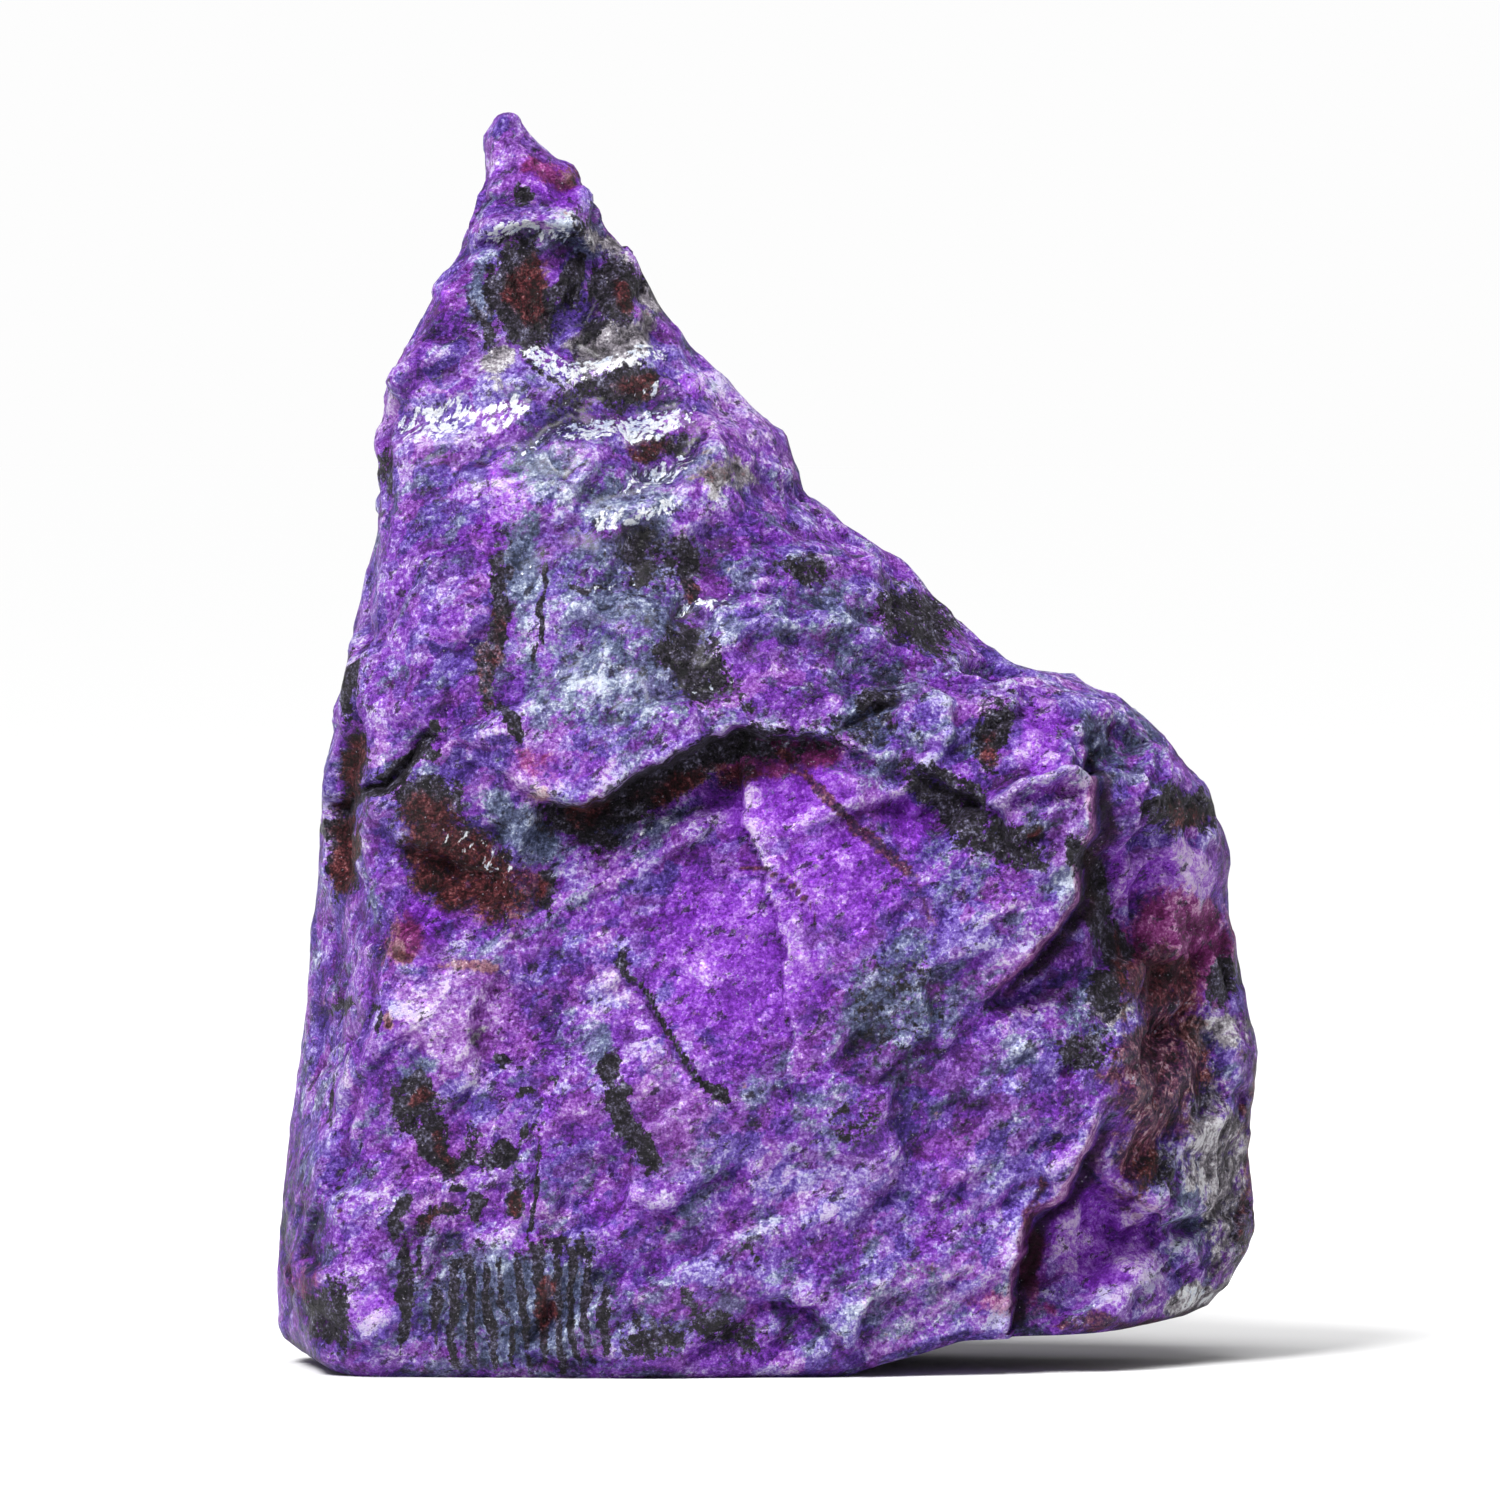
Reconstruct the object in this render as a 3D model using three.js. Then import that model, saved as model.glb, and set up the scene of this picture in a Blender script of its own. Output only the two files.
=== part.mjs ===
// Rough sugilite: one broken lump of purple rock, standing on the flat spot under its left half.
// Millimetres. +Z is up, +X is to the right and -Y is towards whoever looks at its best face.
// The origin is in the middle of the lump's plan, at the height of the flat spot.
// The surface is one closed grid: level sections with eight ridges, stacked from the foot to the tip,
// with ledges, swells and chips added where the broken rock has them.
import * as THREE from "three";

// Driving dimensions. The outline, the ridges and the rest below are stations on a lump of this size.
const HEIGHT = 100.2;
const WIDTH = 78.5;
const DEPTH = 40;
const FOOT_INSET = 1.1; // how far the worn rim of the foot is drawn in
const FOOT_RIM = 0.8; // the height over which it is drawn in
const FOOT_BLEND = 14; // the height over which the raised part of the foot levels out
const KNOB_RIM = 99.3; // where the last section lies, under the rounded tip

// The outline as seen from the front: [height, x] from the foot to the tip.
const LEFT_EDGE = [
  [0, -38.4], [1.8, -39.0], [5.7, -39.2], [11.7, -38.8], [18.9, -38.1], [27.3, -36.9], [38.1, -36.0],
  [47.7, -35.0], [57.3, -33.2], [66.5, -31.0], [69.3, -30.8], [73.7, -31.1], [79.1, -30.0],
  [84.1, -27.3], [86.0, -26.7], [88.5, -25.2], [90.7, -24.0], [93.2, -23.0], [98.3, -22.6],
  [KNOB_RIM, -21.9],
];
const RIGHT_EDGE = [
  [0, 35.0], [3.3, 37.1], [6.7, 38.5], [9.8, 39.2], [13.2, 39.3], [16.9, 38.8], [24.9, 39.3],
  [28.9, 38.4], [36.9, 37.0], [40.2, 37.2], [44.5, 35.9], [47.7, 34.0], [50.2, 32.0], [52.6, 29.2],
  [54.4, 25.2], [55.9, 19.6], [57.7, 17.6], [64.4, 11.0], [66.9, 6.4], [69.7, 3.2], [74.5, 1.4],
  [76.3, -1.1], [79.0, -3.3], [81.2, -5.8], [83.7, -7.8], [88.5, -10.8], [90.9, -12.6], [93.1, -13.8],
  [95.2, -15.2], [96.4, -17.0], [98.3, -18.8], [KNOB_RIM, -19.5],
];

// How far the foot stands off what it rests on: [x, height]. The level stretch is the flat spot.
const FOOT_LIFT = [
  [-38.8, 1.4], [-35.6, 0.5], [-32.4, 0], [6.4, 0], [9.2, 1.0], [12.4, 1.8], [15.6, 2.8], [28.4, 3.2],
  [34.8, 3.9],
];

// The eight ridges of a level section, anticlockwise from above. Each lies in from the outline's left
// or right edge by its inset, and at its depth. Both are stations of [height, value].
const RIDGES = [
  {
    name: "front left",
    from: "left",
    inset: [[0, 3.8], [17, 4.7], [26, 5.5], [34, 5.8], [45, 3.8], [60, 1.6], [86, 1.2], [99, 0.7]],
    depth: [[0, -14.5], [8, -16], [20, -16.5], [44, -14.5], [60, -11], [72, -7.5], [91, -0.5], [99, 2.6]],
  },
  {
    name: "front middle",
    from: "left",
    inset: [[0, 30], [20, 31], [44, 29], [54, 27], [60, 22], [72, 17], [82, 10], [91, 6], [99, 1.3]],
    depth: [[0, -17.5], [8, -19], [20, -19.6], [49, -18], [60, -15], [72, -10.5], [91, -2], [99, 2.2]],
  },
  {
    name: "front right",
    from: "right",
    inset: [[0, 9], [12, 13], [40, 11.5], [50, 6.5], [54, 3.5], [60, 4.2], [78, 4.4], [88, 1.8], [99, 0.6]],
    depth: [[0, -13], [20, -15.5], [44, -15.5], [54, -11.5], [72, -6.5], [91, -0.2], [99, 3]],
  },
  {
    name: "right edge",
    from: "right",
    inset: [[0, 0]],
    depth: [[0, 2], [30, 2.5], [48, 0], [60, 1.5], [82, 3], [99, 4.2]],
  },
  {
    name: "back right",
    from: "right",
    inset: [[0, 6], [20, 7], [44, 8], [54, 5], [72, 4], [91, 2], [99, 0.6]],
    depth: [[0, 13], [20, 14.5], [49, 12], [60, 12], [82, 9.5], [91, 8], [99, 5.6]],
  },
  {
    name: "back middle",
    from: "left",
    inset: [[0, 27], [30, 33], [54, 24], [72, 13], [91, 5], [99, 1.2]],
    depth: [[0, 16.5], [20, 18], [44, 19], [60, 18], [72, 16.5], [82, 14], [91, 11], [99, 6.2]],
  },
  {
    name: "back left",
    from: "left",
    inset: [[0, 4.5], [30, 6], [54, 4], [72, 3], [91, 1.5], [99, 0.6]],
    depth: [[0, 14], [20, 16], [44, 16], [60, 15], [82, 12], [91, 9.5], [99, 5.8]],
  },
  {
    name: "left edge",
    from: "left",
    inset: [[0, 0]],
    depth: [[0, 3], [44, 1.5], [72, 3], [99, 4.2]],
  },
];
const RIDGE_ROUNDING = 0.16; // the share of a side that is rounded next to each ridge
const RIGHT_EDGE_AT = 3; // the ridge numbers of the outline's own edges
const LEFT_EDGE_AT = 7;
const EDGE_HOLD = 0.45; // how far round from them chips are kept from moving the outline
const EDGE_SHARE = 0.12; // the share of a chip that is left there

// Flat faces where larger flakes came off the back, the sides and the foot: a point each goes through,
// and the way it faces.
const FLAKES = [
  { name: "right shoulder of the back", through: [20, 11, 50], facing: [0.5, 0.78, 0.4] },
  { name: "lower back on the left", through: [-28, 14.5, 14], facing: [-0.55, 0.8, -0.2] },
  { name: "foot of the back", through: [2, 15.5, 9], facing: [0.12, 0.9, -0.4] },
  { name: "upper back", through: [-15, 13.4, 76], facing: [0.25, 0.93, 0.25] },
  { name: "left side of the back", through: [-32, 12, 50], facing: [-0.75, 0.65, 0.12] },
  { name: "lower right of the back", through: [33, 10.5, 16], facing: [0.72, 0.66, -0.08] },
  { name: "middle of the back", through: [8, 16.8, 34], facing: [0.2, 0.97, 0.05] },
  { name: "left front of the upper part", through: [-29, -8.6, 66], facing: [-0.55, -0.8, 0.22] },
];

// Ledges: paths of [x, height, drop]. The rock on the right of the path, for someone who walks along
// it, lies lower by the drop, after a wall of the given width, and comes back up over the run.
const FRONT_LEDGES = [
  {
    name: "brow across the middle",
    wall: 2.6,
    run: 11,
    path: [
      [-22, 48.2, 0.5], [-18, 46, 1.8], [-16, 45.3, 4.4], [-14, 45.7, 5.8], [-10.9, 46.9, 6.2],
      [-6.3, 49, 6], [-4.2, 50.7, 5.6], [-2.1, 51.6, 4.8], [0.1, 50.8, 3.6], [4, 50.7, 2.2], [13, 48, 0],
    ],
  },
  {
    name: "step above the brow's end",
    wall: 1.8,
    run: 4,
    path: [[4.6, 50.9, 0], [6.8, 52.4, 1.4], [9.2, 53.5, 1.4], [12.5, 53.7, 0]],
  },
  {
    name: "shoulder step",
    wall: 2,
    run: 6,
    path: [[10.5, 50.2, 0], [14.2, 47.3, 2.8], [18, 44.7, 2.8], [19.8, 40.9, 1.4], [21.2, 38.5, 0]],
  },
  {
    name: "right side scarp",
    wall: 2,
    run: 9,
    path: [
      [17.4, 29.6, 0], [18.9, 31.1, 2.2], [21, 33.4, 3.6], [24.9, 37.6, 4.6], [24.3, 40.8, 4.6],
      [25.6, 42.8, 4.2], [25.2, 44.6, 3.6], [25.6, 47.4, 2.4], [25.2, 50.6, 1.4], [24.2, 53.5, 0],
    ],
  },
  {
    name: "lower right scarp",
    wall: 2,
    run: 12,
    path: [
      [19.6, 2.6, 3], [20.3, 5.5, 4.4], [20.8, 9.8, 5.2], [21.3, 12, 5.2], [23.9, 14.4, 4.8],
      [25.2, 17, 3.8], [25.8, 19, 2.8], [26.6, 22, 0],
    ],
  },
  {
    name: "rib beyond the lower right hollow",
    wall: 2.4,
    run: 5,
    path: [[25.6, 18, 0], [26.4, 16, 1.8], [28.8, 13.4, 2], [31.6, 8.8, 1.4], [32.5, 5, 0]],
  },
  {
    name: "lip by the foot",
    wall: 1.8,
    run: 5,
    path: [[-2, 10.1, 0], [0.8, 6.9, 0.8], [4.4, 4.5, 1], [6.8, 2.1, 1], [8, 0.6, 0.6]],
  },
  {
    name: "lip under the tip",
    wall: 1.8,
    run: 4.5,
    path: [
      [-24.4, 87.6, 0], [-22, 89.7, 1.4], [-18.8, 90.6, 1.8], [-15.2, 90.2, 1.6], [-12.8, 88.9, 1],
      [-10.5, 85.8, 0],
    ],
  },
  {
    name: "left bevel's crease",
    wall: 1.6,
    run: 3.5,
    path: [[-29.6, 39, 0], [-30.2, 33, 0.8], [-31.2, 27, 1], [-33.6, 20, 0.8], [-35, 4, 0.5]],
  },
];

// Shelves: the wavy steps across the upper front, where a slab split along a seam. They are ledges too,
// with gentle walls that face up.
const SHELVES = [
  {
    name: "tip shelf",
    wall: 2.4,
    run: 3,
    path: [[-12.6, 90.6, 0], [-15.4, 91.9, 1], [-19, 92.2, 1.2], [-22, 91, 0]],
  },
  {
    name: "first shelf",
    wall: 2.8,
    run: 3.2,
    path: [[-5.5, 82.4, 0], [-8.8, 81.3, 1.3], [-15.1, 80, 1.9], [-17.4, 79.7, 1.8], [-22, 79.7, 0]],
  },
  {
    name: "second shelf",
    wall: 2.8,
    run: 3.2,
    path: [[-5.2, 77.4, 0], [-6.6, 76.9, 1.5], [-10, 75.6, 2.1], [-15.3, 74.2, 1.8], [-21, 73, 0]],
  },
  {
    name: "left shelf",
    wall: 3,
    run: 3.6,
    path: [[-15.8, 78.4, 0], [-18, 77.6, 1], [-22.5, 75.9, 1.5], [-28.4, 74.2, 1.8], [-30.4, 73.5, 0.9]],
  },
  {
    name: "third shelf",
    wall: 2.8,
    run: 3.2,
    path: [[-4.6, 72.8, 0], [-5.9, 72.2, 1.2], [-8.8, 70.2, 1.8], [-13.2, 67.8, 1.6], [-17, 66, 0]],
  },
  {
    name: "fourth shelf",
    wall: 2,
    run: 2.6,
    path: [
      [-1, 62.6, 0], [-2.8, 62, 1.2], [-6.4, 60.7, 1.2], [-11.3, 62.8, 0.5], [-14.4, 62.2, 0.8],
      [-16, 61.6, 0],
    ],
  },
  {
    name: "fifth shelf",
    wall: 1.8,
    run: 2.4,
    path: [[-0.6, 55.6, 0], [-2.5, 55, 1.1], [-6.4, 53.6, 1.1], [-8.4, 53, 0]],
  },
];
const BACK_LEDGES = [
  {
    name: "long step across the back",
    wall: 4.5,
    run: 12,
    path: [
      [30, 38, 0], [20, 43, 1.8], [8, 46, 3], [-2, 54, 3.2], [-12, 57.5, 3.4], [-24, 55, 2.4],
      [-34, 58, 0],
    ],
  },
  {
    name: "low scarp on the back",
    wall: 4.5,
    run: 10,
    path: [
      [33, 6, 0], [28, 12, 1.6], [16, 22, 2.6], [6, 26, 2.6], [-6, 22, 3], [-20, 24, 2.2], [-30, 30, 0],
    ],
  },
  {
    name: "back step under the tip",
    wall: 3.6,
    run: 7,
    path: [[-8, 76, 0], [-14, 79.5, 1.8], [-21, 77, 1.6], [-27, 80, 0]],
  },
];

// Swells, and hollows where the height is below zero, as soft turned ovals in the front or back view.
const FRONT_SWELLS = [
  { name: "domed shell in the middle", x: -2, z: 37, across: 10, along: 8.5, turn: -15, height: 1.4 },
  { name: "top of the brow", x: -9, z: 54, across: 12, along: 6, turn: 10, height: 1.4 },
  { name: "hollow with dark rock", x: -24.5, z: 40.5, across: 5.2, along: 4.6, turn: -20, height: -3 },
  { name: "lump under that hollow", x: -27, z: 28.5, across: 4, along: 3.4, turn: 0, height: 1.2 },
  { name: "lower right hollow", x: 26.5, z: 10, across: 4.2, along: 5.5, turn: 25, height: -1.8 },
  { name: "valley beside the scarp", x: 28.2, z: 37, across: 2.6, along: 10, turn: 8, height: -2.4 },
  { name: "right hand boss", x: 32.5, z: 44, across: 4.5, along: 7, turn: 20, height: 1.6 },
  { name: "right hand hollow", x: 33.5, z: 31, across: 4, along: 6, turn: -20, height: -1.8 },
  { name: "scoop under the tip's lip", x: -18, z: 85.5, across: 5, along: 3.4, turn: 0, height: -1.2 },
  { name: "bright shelf below it", x: -16, z: 79.6, across: 6.5, along: 1.8, turn: 8, height: 0.9 },
  { name: "upper left facet", x: -26, z: 66, across: 3.2, along: 9, turn: 4, height: 0.9 },
  { name: "lobe by the foot", x: 12, z: 6, across: 7, along: 3.6, turn: 12, height: 1.3 },
  { name: "lump at the left foot", x: -31.5, z: 5, across: 2.6, along: 4, turn: 8, height: 0.8 },
  { name: "swell left of the dome", x: -11.5, z: 23, across: 6, along: 4, turn: 30, height: 0.9 },
];
const BACK_SWELLS = [
  { name: "upper boss of the back", x: -14, z: 66, across: 9, along: 7, turn: 20, height: 1.6 },
  { name: "hollow of the back", x: 4, z: 36, across: 9, along: 5, turn: -20, height: -2 },
  { name: "foot of the back", x: -20, z: 10, across: 9, along: 6, turn: 0, height: 1.2 },
];

// Chips: bowls in cubic cells, which meet in sharp ridges.
const CHIPS = [
  { cell: 15, height: 1.6, salt: 5 },
  { cell: 6.5, height: 0.7, salt: 17 },
];
const CHIP_MEAN = 0.35; // a bowl's mean squared distance, so that chips leave the size as it is

// Breaks: tilted flat faces with narrow borders, drawn out along the rock's fabric.
const BREAKS = [
  { cell: 12, height: 2.4, salt: 141, crisp: 14 },
  { cell: 5.5, height: 1.2, salt: 151, crisp: 7 },
];
const FABRIC_TURN = THREE.MathUtils.degToRad(32); // the broken grain runs up to the right
const FABRIC_STRETCH = 1.7;

// How rough the front is: a level for its flat cleavage, and how much more or less some places have.
const FRONT_ROUGHNESS = 0.5;
const ROUGH_PLACES = [
  { name: "right side", x: 30, z: 28, across: 10, along: 30, turn: 0, height: 0.25 },
  { name: "slope up to the shoulder", x: 10, z: 58, across: 14, along: 9, turn: -45, height: 0.35 },
  { name: "shoulder", x: 22, z: 46, across: 9, along: 7, turn: -20, height: 0.35 },
  { name: "tip", x: -17, z: 91, across: 9, along: 9, turn: 0, height: 0.3 },
  { name: "domed shell", x: -2, z: 34, across: 9, along: 8, turn: 0, height: -0.2 },
  { name: "left facet", x: -29.5, z: 62, across: 3.5, along: 12, turn: 4, height: -0.2 },
];
const TIP_FADE = 10; // the height below the tip over which chips and relief grow to their full size

// The grid: the columns on each of the eight sides, how far rows lie apart at a height, closest across
// the brow and the shelves, and the sizes of the rings that close the foot and round the knob.
const COLUMNS = [19, 18, 12, 7, 7, 7, 6, 6];
const ROW_PITCH = [
  [0, 2], [42, 2.2], [45, 1.4], [51, 1.4], [54, 2.2], [64, 2.1], [67, 1.7], [83, 1.7], [86, 2.1],
  [96, 1.7],
];
const FOOT_RINGS = [0.82, 0.5];
const FOOT_MIDDLE = new THREE.Vector3(-3, 0, 0);
const TIP_RINGS = [[0.66, 0.74]]; // size, and share of the way up to the top

// The straight line through stations of [at, value], level past both ends.
function along(stations, at) {
  if (at <= stations[0][0]) return stations[0][1];
  for (let i = 1; i < stations.length; i++) {
    const [a, low] = stations[i - 1];
    const [b, high] = stations[i];
    if (at <= b) return low + ((high - low) * (at - a)) / (b - a);
  }
  return stations[stations.length - 1][1];
}

// From 0 at low to 1 at high, level at both ends.
function smooth(low, high, value) {
  const t = Math.min(1, Math.max(0, (value - low) / (high - low)));
  return t * t * (3 - 2 * t);
}

// A fixed number from 0 to 1 for each point of a lattice.
function scatter(x, y, z, salt) {
  let h = Math.imul(x, 374761393) + Math.imul(y, 668265263);
  h = (h + Math.imul(z, 1274126177) + Math.imul(salt, 974634777)) | 0;
  h = Math.imul(h ^ (h >>> 13), 1103515245);
  h = Math.imul(h ^ (h >>> 15), 2246822519);
  return ((h ^ (h >>> 16)) >>> 0) / 2 ** 32;
}

// The squared distance, in cells, from a point to the nearest of one scattered point per cell. A wave
// bends the cells first, so that no row of them is straight.
function bowl(point, cell, salt) {
  const wave = 0.22 * cell;
  const x = (point.x + wave * Math.sin(point.z / (0.6 * cell) + salt)) / cell;
  const y = (point.y + wave * Math.sin(point.x / (0.7 * cell) + salt)) / cell;
  const z = (point.z + wave * Math.sin(point.y / (0.5 * cell) + salt)) / cell;
  const [i, j, k] = [Math.floor(x), Math.floor(y), Math.floor(z)];
  let nearest = Infinity;
  for (let a = i - 1; a <= i + 1; a++)
    for (let b = j - 1; b <= j + 1; b++)
      for (let c = k - 1; c <= k + 1; c++) {
        const dx = a + scatter(a, b, c, salt) - x;
        const dy = b + scatter(a, b, c, salt + 1) - y;
        const dz = c + scatter(a, b, c, salt + 2) - z;
        nearest = Math.min(nearest, dx * dx + dy * dy + dz * dz);
      }
  return nearest;
}

// A place turned to the rock's fabric and shrunk along it, so that what is built on it is drawn out.
function alongTheFabric(point) {
  const u = point.x * Math.cos(FABRIC_TURN) + point.z * Math.sin(FABRIC_TURN);
  const v = point.z * Math.cos(FABRIC_TURN) - point.x * Math.sin(FABRIC_TURN);
  return new THREE.Vector3(u / FABRIC_STRETCH, point.y, v);
}

// A tilted plane round each of one scattered point per cell, blended over narrow borders.
function facet(point, { cell, salt, crisp }) {
  const { x, y, z } = alongTheFabric(point).divideScalar(cell);
  const [i, j, k] = [Math.floor(x), Math.floor(y), Math.floor(z)];
  let total = 0;
  let weights = 0;
  for (let a = i - 1; a <= i + 1; a++)
    for (let b = j - 1; b <= j + 1; b++)
      for (let c = k - 1; c <= k + 1; c++) {
        const random = (index) => scatter(a, b, c, salt + index);
        const off = new THREE.Vector3(x - a - random(0), y - b - random(1), z - c - random(2));
        const tilt = new THREE.Vector3(2 * random(3) - 1, 2 * random(4) - 1, 2 * random(5) - 1);
        const weight = Math.exp(-crisp * off.lengthSq());
        total += weight * (off.dot(tilt) + random(6) - 0.5);
        weights += weight;
      }
  return total / weights;
}

// How far the rock lies below the top of a ledge, at a point of the front view.
function dropAt(ledge, x, z) {
  let nearest = Infinity;
  let side = 0;
  let drop = 0;
  for (let i = 1; i < ledge.path.length; i++) {
    const [ax, az, aDrop] = ledge.path[i - 1];
    const [bx, bz, bDrop] = ledge.path[i];
    const [ux, uz] = [bx - ax, bz - az];
    const share = Math.min(1, Math.max(0, ((x - ax) * ux + (z - az) * uz) / (ux * ux + uz * uz)));
    const [ox, oz] = [x - ax - share * ux, z - az - share * uz];
    const away = Math.hypot(ox, oz);
    if (away < nearest) {
      nearest = away;
      side = Math.sign(ox * uz - oz * ux);
      drop = aDrop + (bDrop - aDrop) * share;
    }
  }
  const down = side * nearest;
  const wall = smooth(-ledge.wall / 2, ledge.wall / 2, down);
  return drop * wall * Math.exp(-Math.max(0, down) / ledge.run);
}

function swellAt(swell, x, z) {
  const turn = THREE.MathUtils.degToRad(swell.turn);
  const [dx, dz] = [x - swell.x, z - swell.z];
  const u = (dx * Math.cos(turn) + dz * Math.sin(turn)) / swell.across;
  const v = (dz * Math.cos(turn) - dx * Math.sin(turn)) / swell.along;
  return swell.height * Math.exp(-(u * u + v * v));
}

// How far the front, or the back, stands out beyond the plain section at a point of its view.
function reliefAt(swells, ledges, x, z) {
  let out = 0;
  for (const swell of swells) out += swellAt(swell, x, z);
  for (const ledge of ledges) out -= dropAt(ledge, x, z);
  return out;
}

// One ridge's place in the section at a height.
function ridgeAt(index, z) {
  const ridge = RIDGES[(index + RIDGES.length) % RIDGES.length];
  const inset = along(ridge.inset, z);
  const x = ridge.from === "left" ? along(LEFT_EDGE, z) + inset : along(RIGHT_EDGE, z) - inset;
  return new THREE.Vector2(x, along(ridge.depth, z));
}

// A point of the section at a height. The turn runs from 0 to 8 through the ridges.
function sectionAt(turn, z) {
  const before = Math.floor(turn);
  const point = ridgeAt(before, z).lerp(ridgeAt(before + 1, z), turn - before);
  const nearest = Math.round(turn);
  const away = Math.abs(turn - nearest);
  if (away < RIDGE_ROUNDING) {
    const bend = ridgeAt(nearest + 1, z).add(ridgeAt(nearest - 1, z));
    bend.addScaledVector(ridgeAt(nearest, z), -2);
    point.addScaledVector(bend, (RIDGE_ROUNDING - away) ** 2 / (4 * RIDGE_ROUNDING));
  }
  return point;
}

// The share of the front's, and of the back's, relief at a place round the section.
function frontShare(turn) {
  return turn > 5 ? smooth(6.6, 7, turn) : 1 - smooth(3, 3.4, turn);
}

function backShare(turn) {
  return smooth(3.3, 4, turn) * (1 - smooth(6, 6.7, turn));
}

// How freely chips may move the surface sideways: they keep off the outline's edges.
function sideways(turn) {
  const away = Math.min(Math.abs(turn - RIGHT_EDGE_AT), Math.abs(turn - LEFT_EDGE_AT));
  return EDGE_SHARE + (1 - EDGE_SHARE) * smooth(0, EDGE_HOLD, away);
}

// 1 on the back, and on the front its own level with more or less at the rough or smooth places.
function roughnessAt(x, z, share) {
  let front = FRONT_ROUGHNESS;
  for (const place of ROUGH_PLACES) front += swellAt(place, x, z);
  return 1 - share * (1 - front);
}

function rowHeights() {
  const heights = [0, FOOT_RIM];
  while (heights.at(-1) < KNOB_RIM) heights.push(heights.at(-1) + along(ROW_PITCH, heights.at(-1)));
  heights[heights.length - 1] = KNOB_RIM;
  return heights;
}

// Moves a point that stands out beyond a flake's face straight back onto it.
function flaked(point) {
  for (const { through, facing } of FLAKES) {
    const normal = new THREE.Vector3(...facing).normalize();
    const beyond = point.clone().sub(new THREE.Vector3(...through)).dot(normal);
    point.addScaledVector(new THREE.Vector3(normal.x, normal.y, 0), -Math.max(0, beyond));
  }
  return point;
}

// One row of the plain section: fitted to the outline, flaked, with the foot's rim drawn in.
function plainRow(turns, z) {
  const row = turns.map((turn) => sectionAt(turn, z));
  const left = Math.min(...row.map((point) => point.x));
  const right = Math.max(...row.map((point) => point.x));
  const [low, high] = [along(LEFT_EDGE, z), along(RIGHT_EDGE, z)];
  const inset = FOOT_INSET * Math.max(0, 1 - z / FOOT_RIM);
  return row.map((point) => {
    const x = low + ((point.x - left) * (high - low)) / (right - left);
    const rim = flaked(new THREE.Vector3(x, point.y, z));
    const middle = new THREE.Vector3((low + high) / 2, 0, z);
    return rim.lerp(middle, inset / rim.distanceTo(middle));
  });
}

// The outward direction of a grid of points, at one of them.
function outward(grid, row, column) {
  const count = grid[row].length;
  const across = grid[row][(column + 1) % count].clone().sub(grid[row][(column + count - 1) % count]);
  const up = grid[Math.min(row + 1, grid.length - 1)][column].clone();
  return across.cross(up.sub(grid[Math.max(row - 1, 0)][column])).normalize();
}

// A finished point: the plain one with relief along Y, chips along the surface's own direction, and
// the raised part of the foot.
function finished(point, normal, turn) {
  const { x, z } = point;
  const front = reliefAt(FRONT_SWELLS, [...FRONT_LEDGES, ...SHELVES], x, z);
  const back = reliefAt(BACK_SWELLS, BACK_LEDGES, x, z);
  const relief = backShare(turn) * back - frontShare(turn) * front;
  const tipShare = smooth(0, TIP_FADE, HEIGHT - z);
  const footShare = smooth(0, 3, z);
  let chip = 0;
  for (const { cell, height, salt } of CHIPS) chip += height * (bowl(point, cell, salt) - CHIP_MEAN);
  for (const kind of BREAKS) chip += kind.height * facet(point, kind);
  chip *= roughnessAt(x, z, frontShare(turn)) * (0.25 + 0.75 * tipShare);
  const level = chip * (0.3 + 0.7 * footShare);
  const result = point.clone();
  result.x += level * normal.x * sideways(turn);
  result.y += level * normal.y + relief * (0.15 + 0.85 * tipShare);
  result.z += chip * normal.z * sideways(turn) * footShare;
  result.z += along(FOOT_LIFT, x) * Math.max(0, 1 - z / FOOT_BLEND);
  return result;
}

// Stretches the grid to the driving width and depth, about the middle of its plan.
function fitPlan(grid) {
  const box = new THREE.Box3().setFromPoints(grid.flat());
  const [size, middle] = [box.getSize(new THREE.Vector3()), box.getCenter(new THREE.Vector3())];
  for (const point of grid.flat()) {
    point.x = ((point.x - middle.x) * WIDTH) / size.x;
    point.y = ((point.y - middle.y) * DEPTH) / size.y;
  }
}

// The closed surface: rings that shrink to the middle of the foot, the grid, and rings up to the tip.
function closedSurface(grid) {
  const count = grid[0].length;
  const rings = FOOT_RINGS.map((size) =>
    grid[0].map((rim) => {
      const point = FOOT_MIDDLE.clone().lerp(rim, size);
      point.z = along(FOOT_LIFT, point.x);
      return point;
    }),
  );
  const tip = new THREE.Vector3();
  for (const point of grid.at(-1)) tip.addScaledVector(point, 1 / count);
  tip.z = HEIGHT;
  const knob = TIP_RINGS.map(([size, climb]) =>
    grid.at(-1).map((rim) => {
      const point = tip.clone().lerp(rim, size);
      point.z = rim.z + climb * (HEIGHT - rim.z);
      return point;
    }),
  );
  const loops = [...rings.reverse(), ...grid, ...knob];
  const points = loops.flat().flatMap((point) => point.toArray());
  const foot = points.length / 3;
  points.push(...FOOT_MIDDLE.toArray(), ...tip.toArray());
  const faces = [];
  const last = (loops.length - 1) * count;
  for (let column = 0; column < count; column++) {
    const next = (column + 1) % count;
    for (let start = 0; start < last; start += count) {
      const [a, b] = [start + column, start + next];
      faces.push(a, b, b + count, a, b + count, a + count);
    }
    faces.push(foot, next, column);
    faces.push(last + column, last + next, foot + 1);
  }
  const geometry = new THREE.BufferGeometry();
  geometry.setAttribute("position", new THREE.Float32BufferAttribute(points, 3));
  geometry.setIndex(faces);
  geometry.computeVertexNormals();
  return geometry;
}

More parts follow.
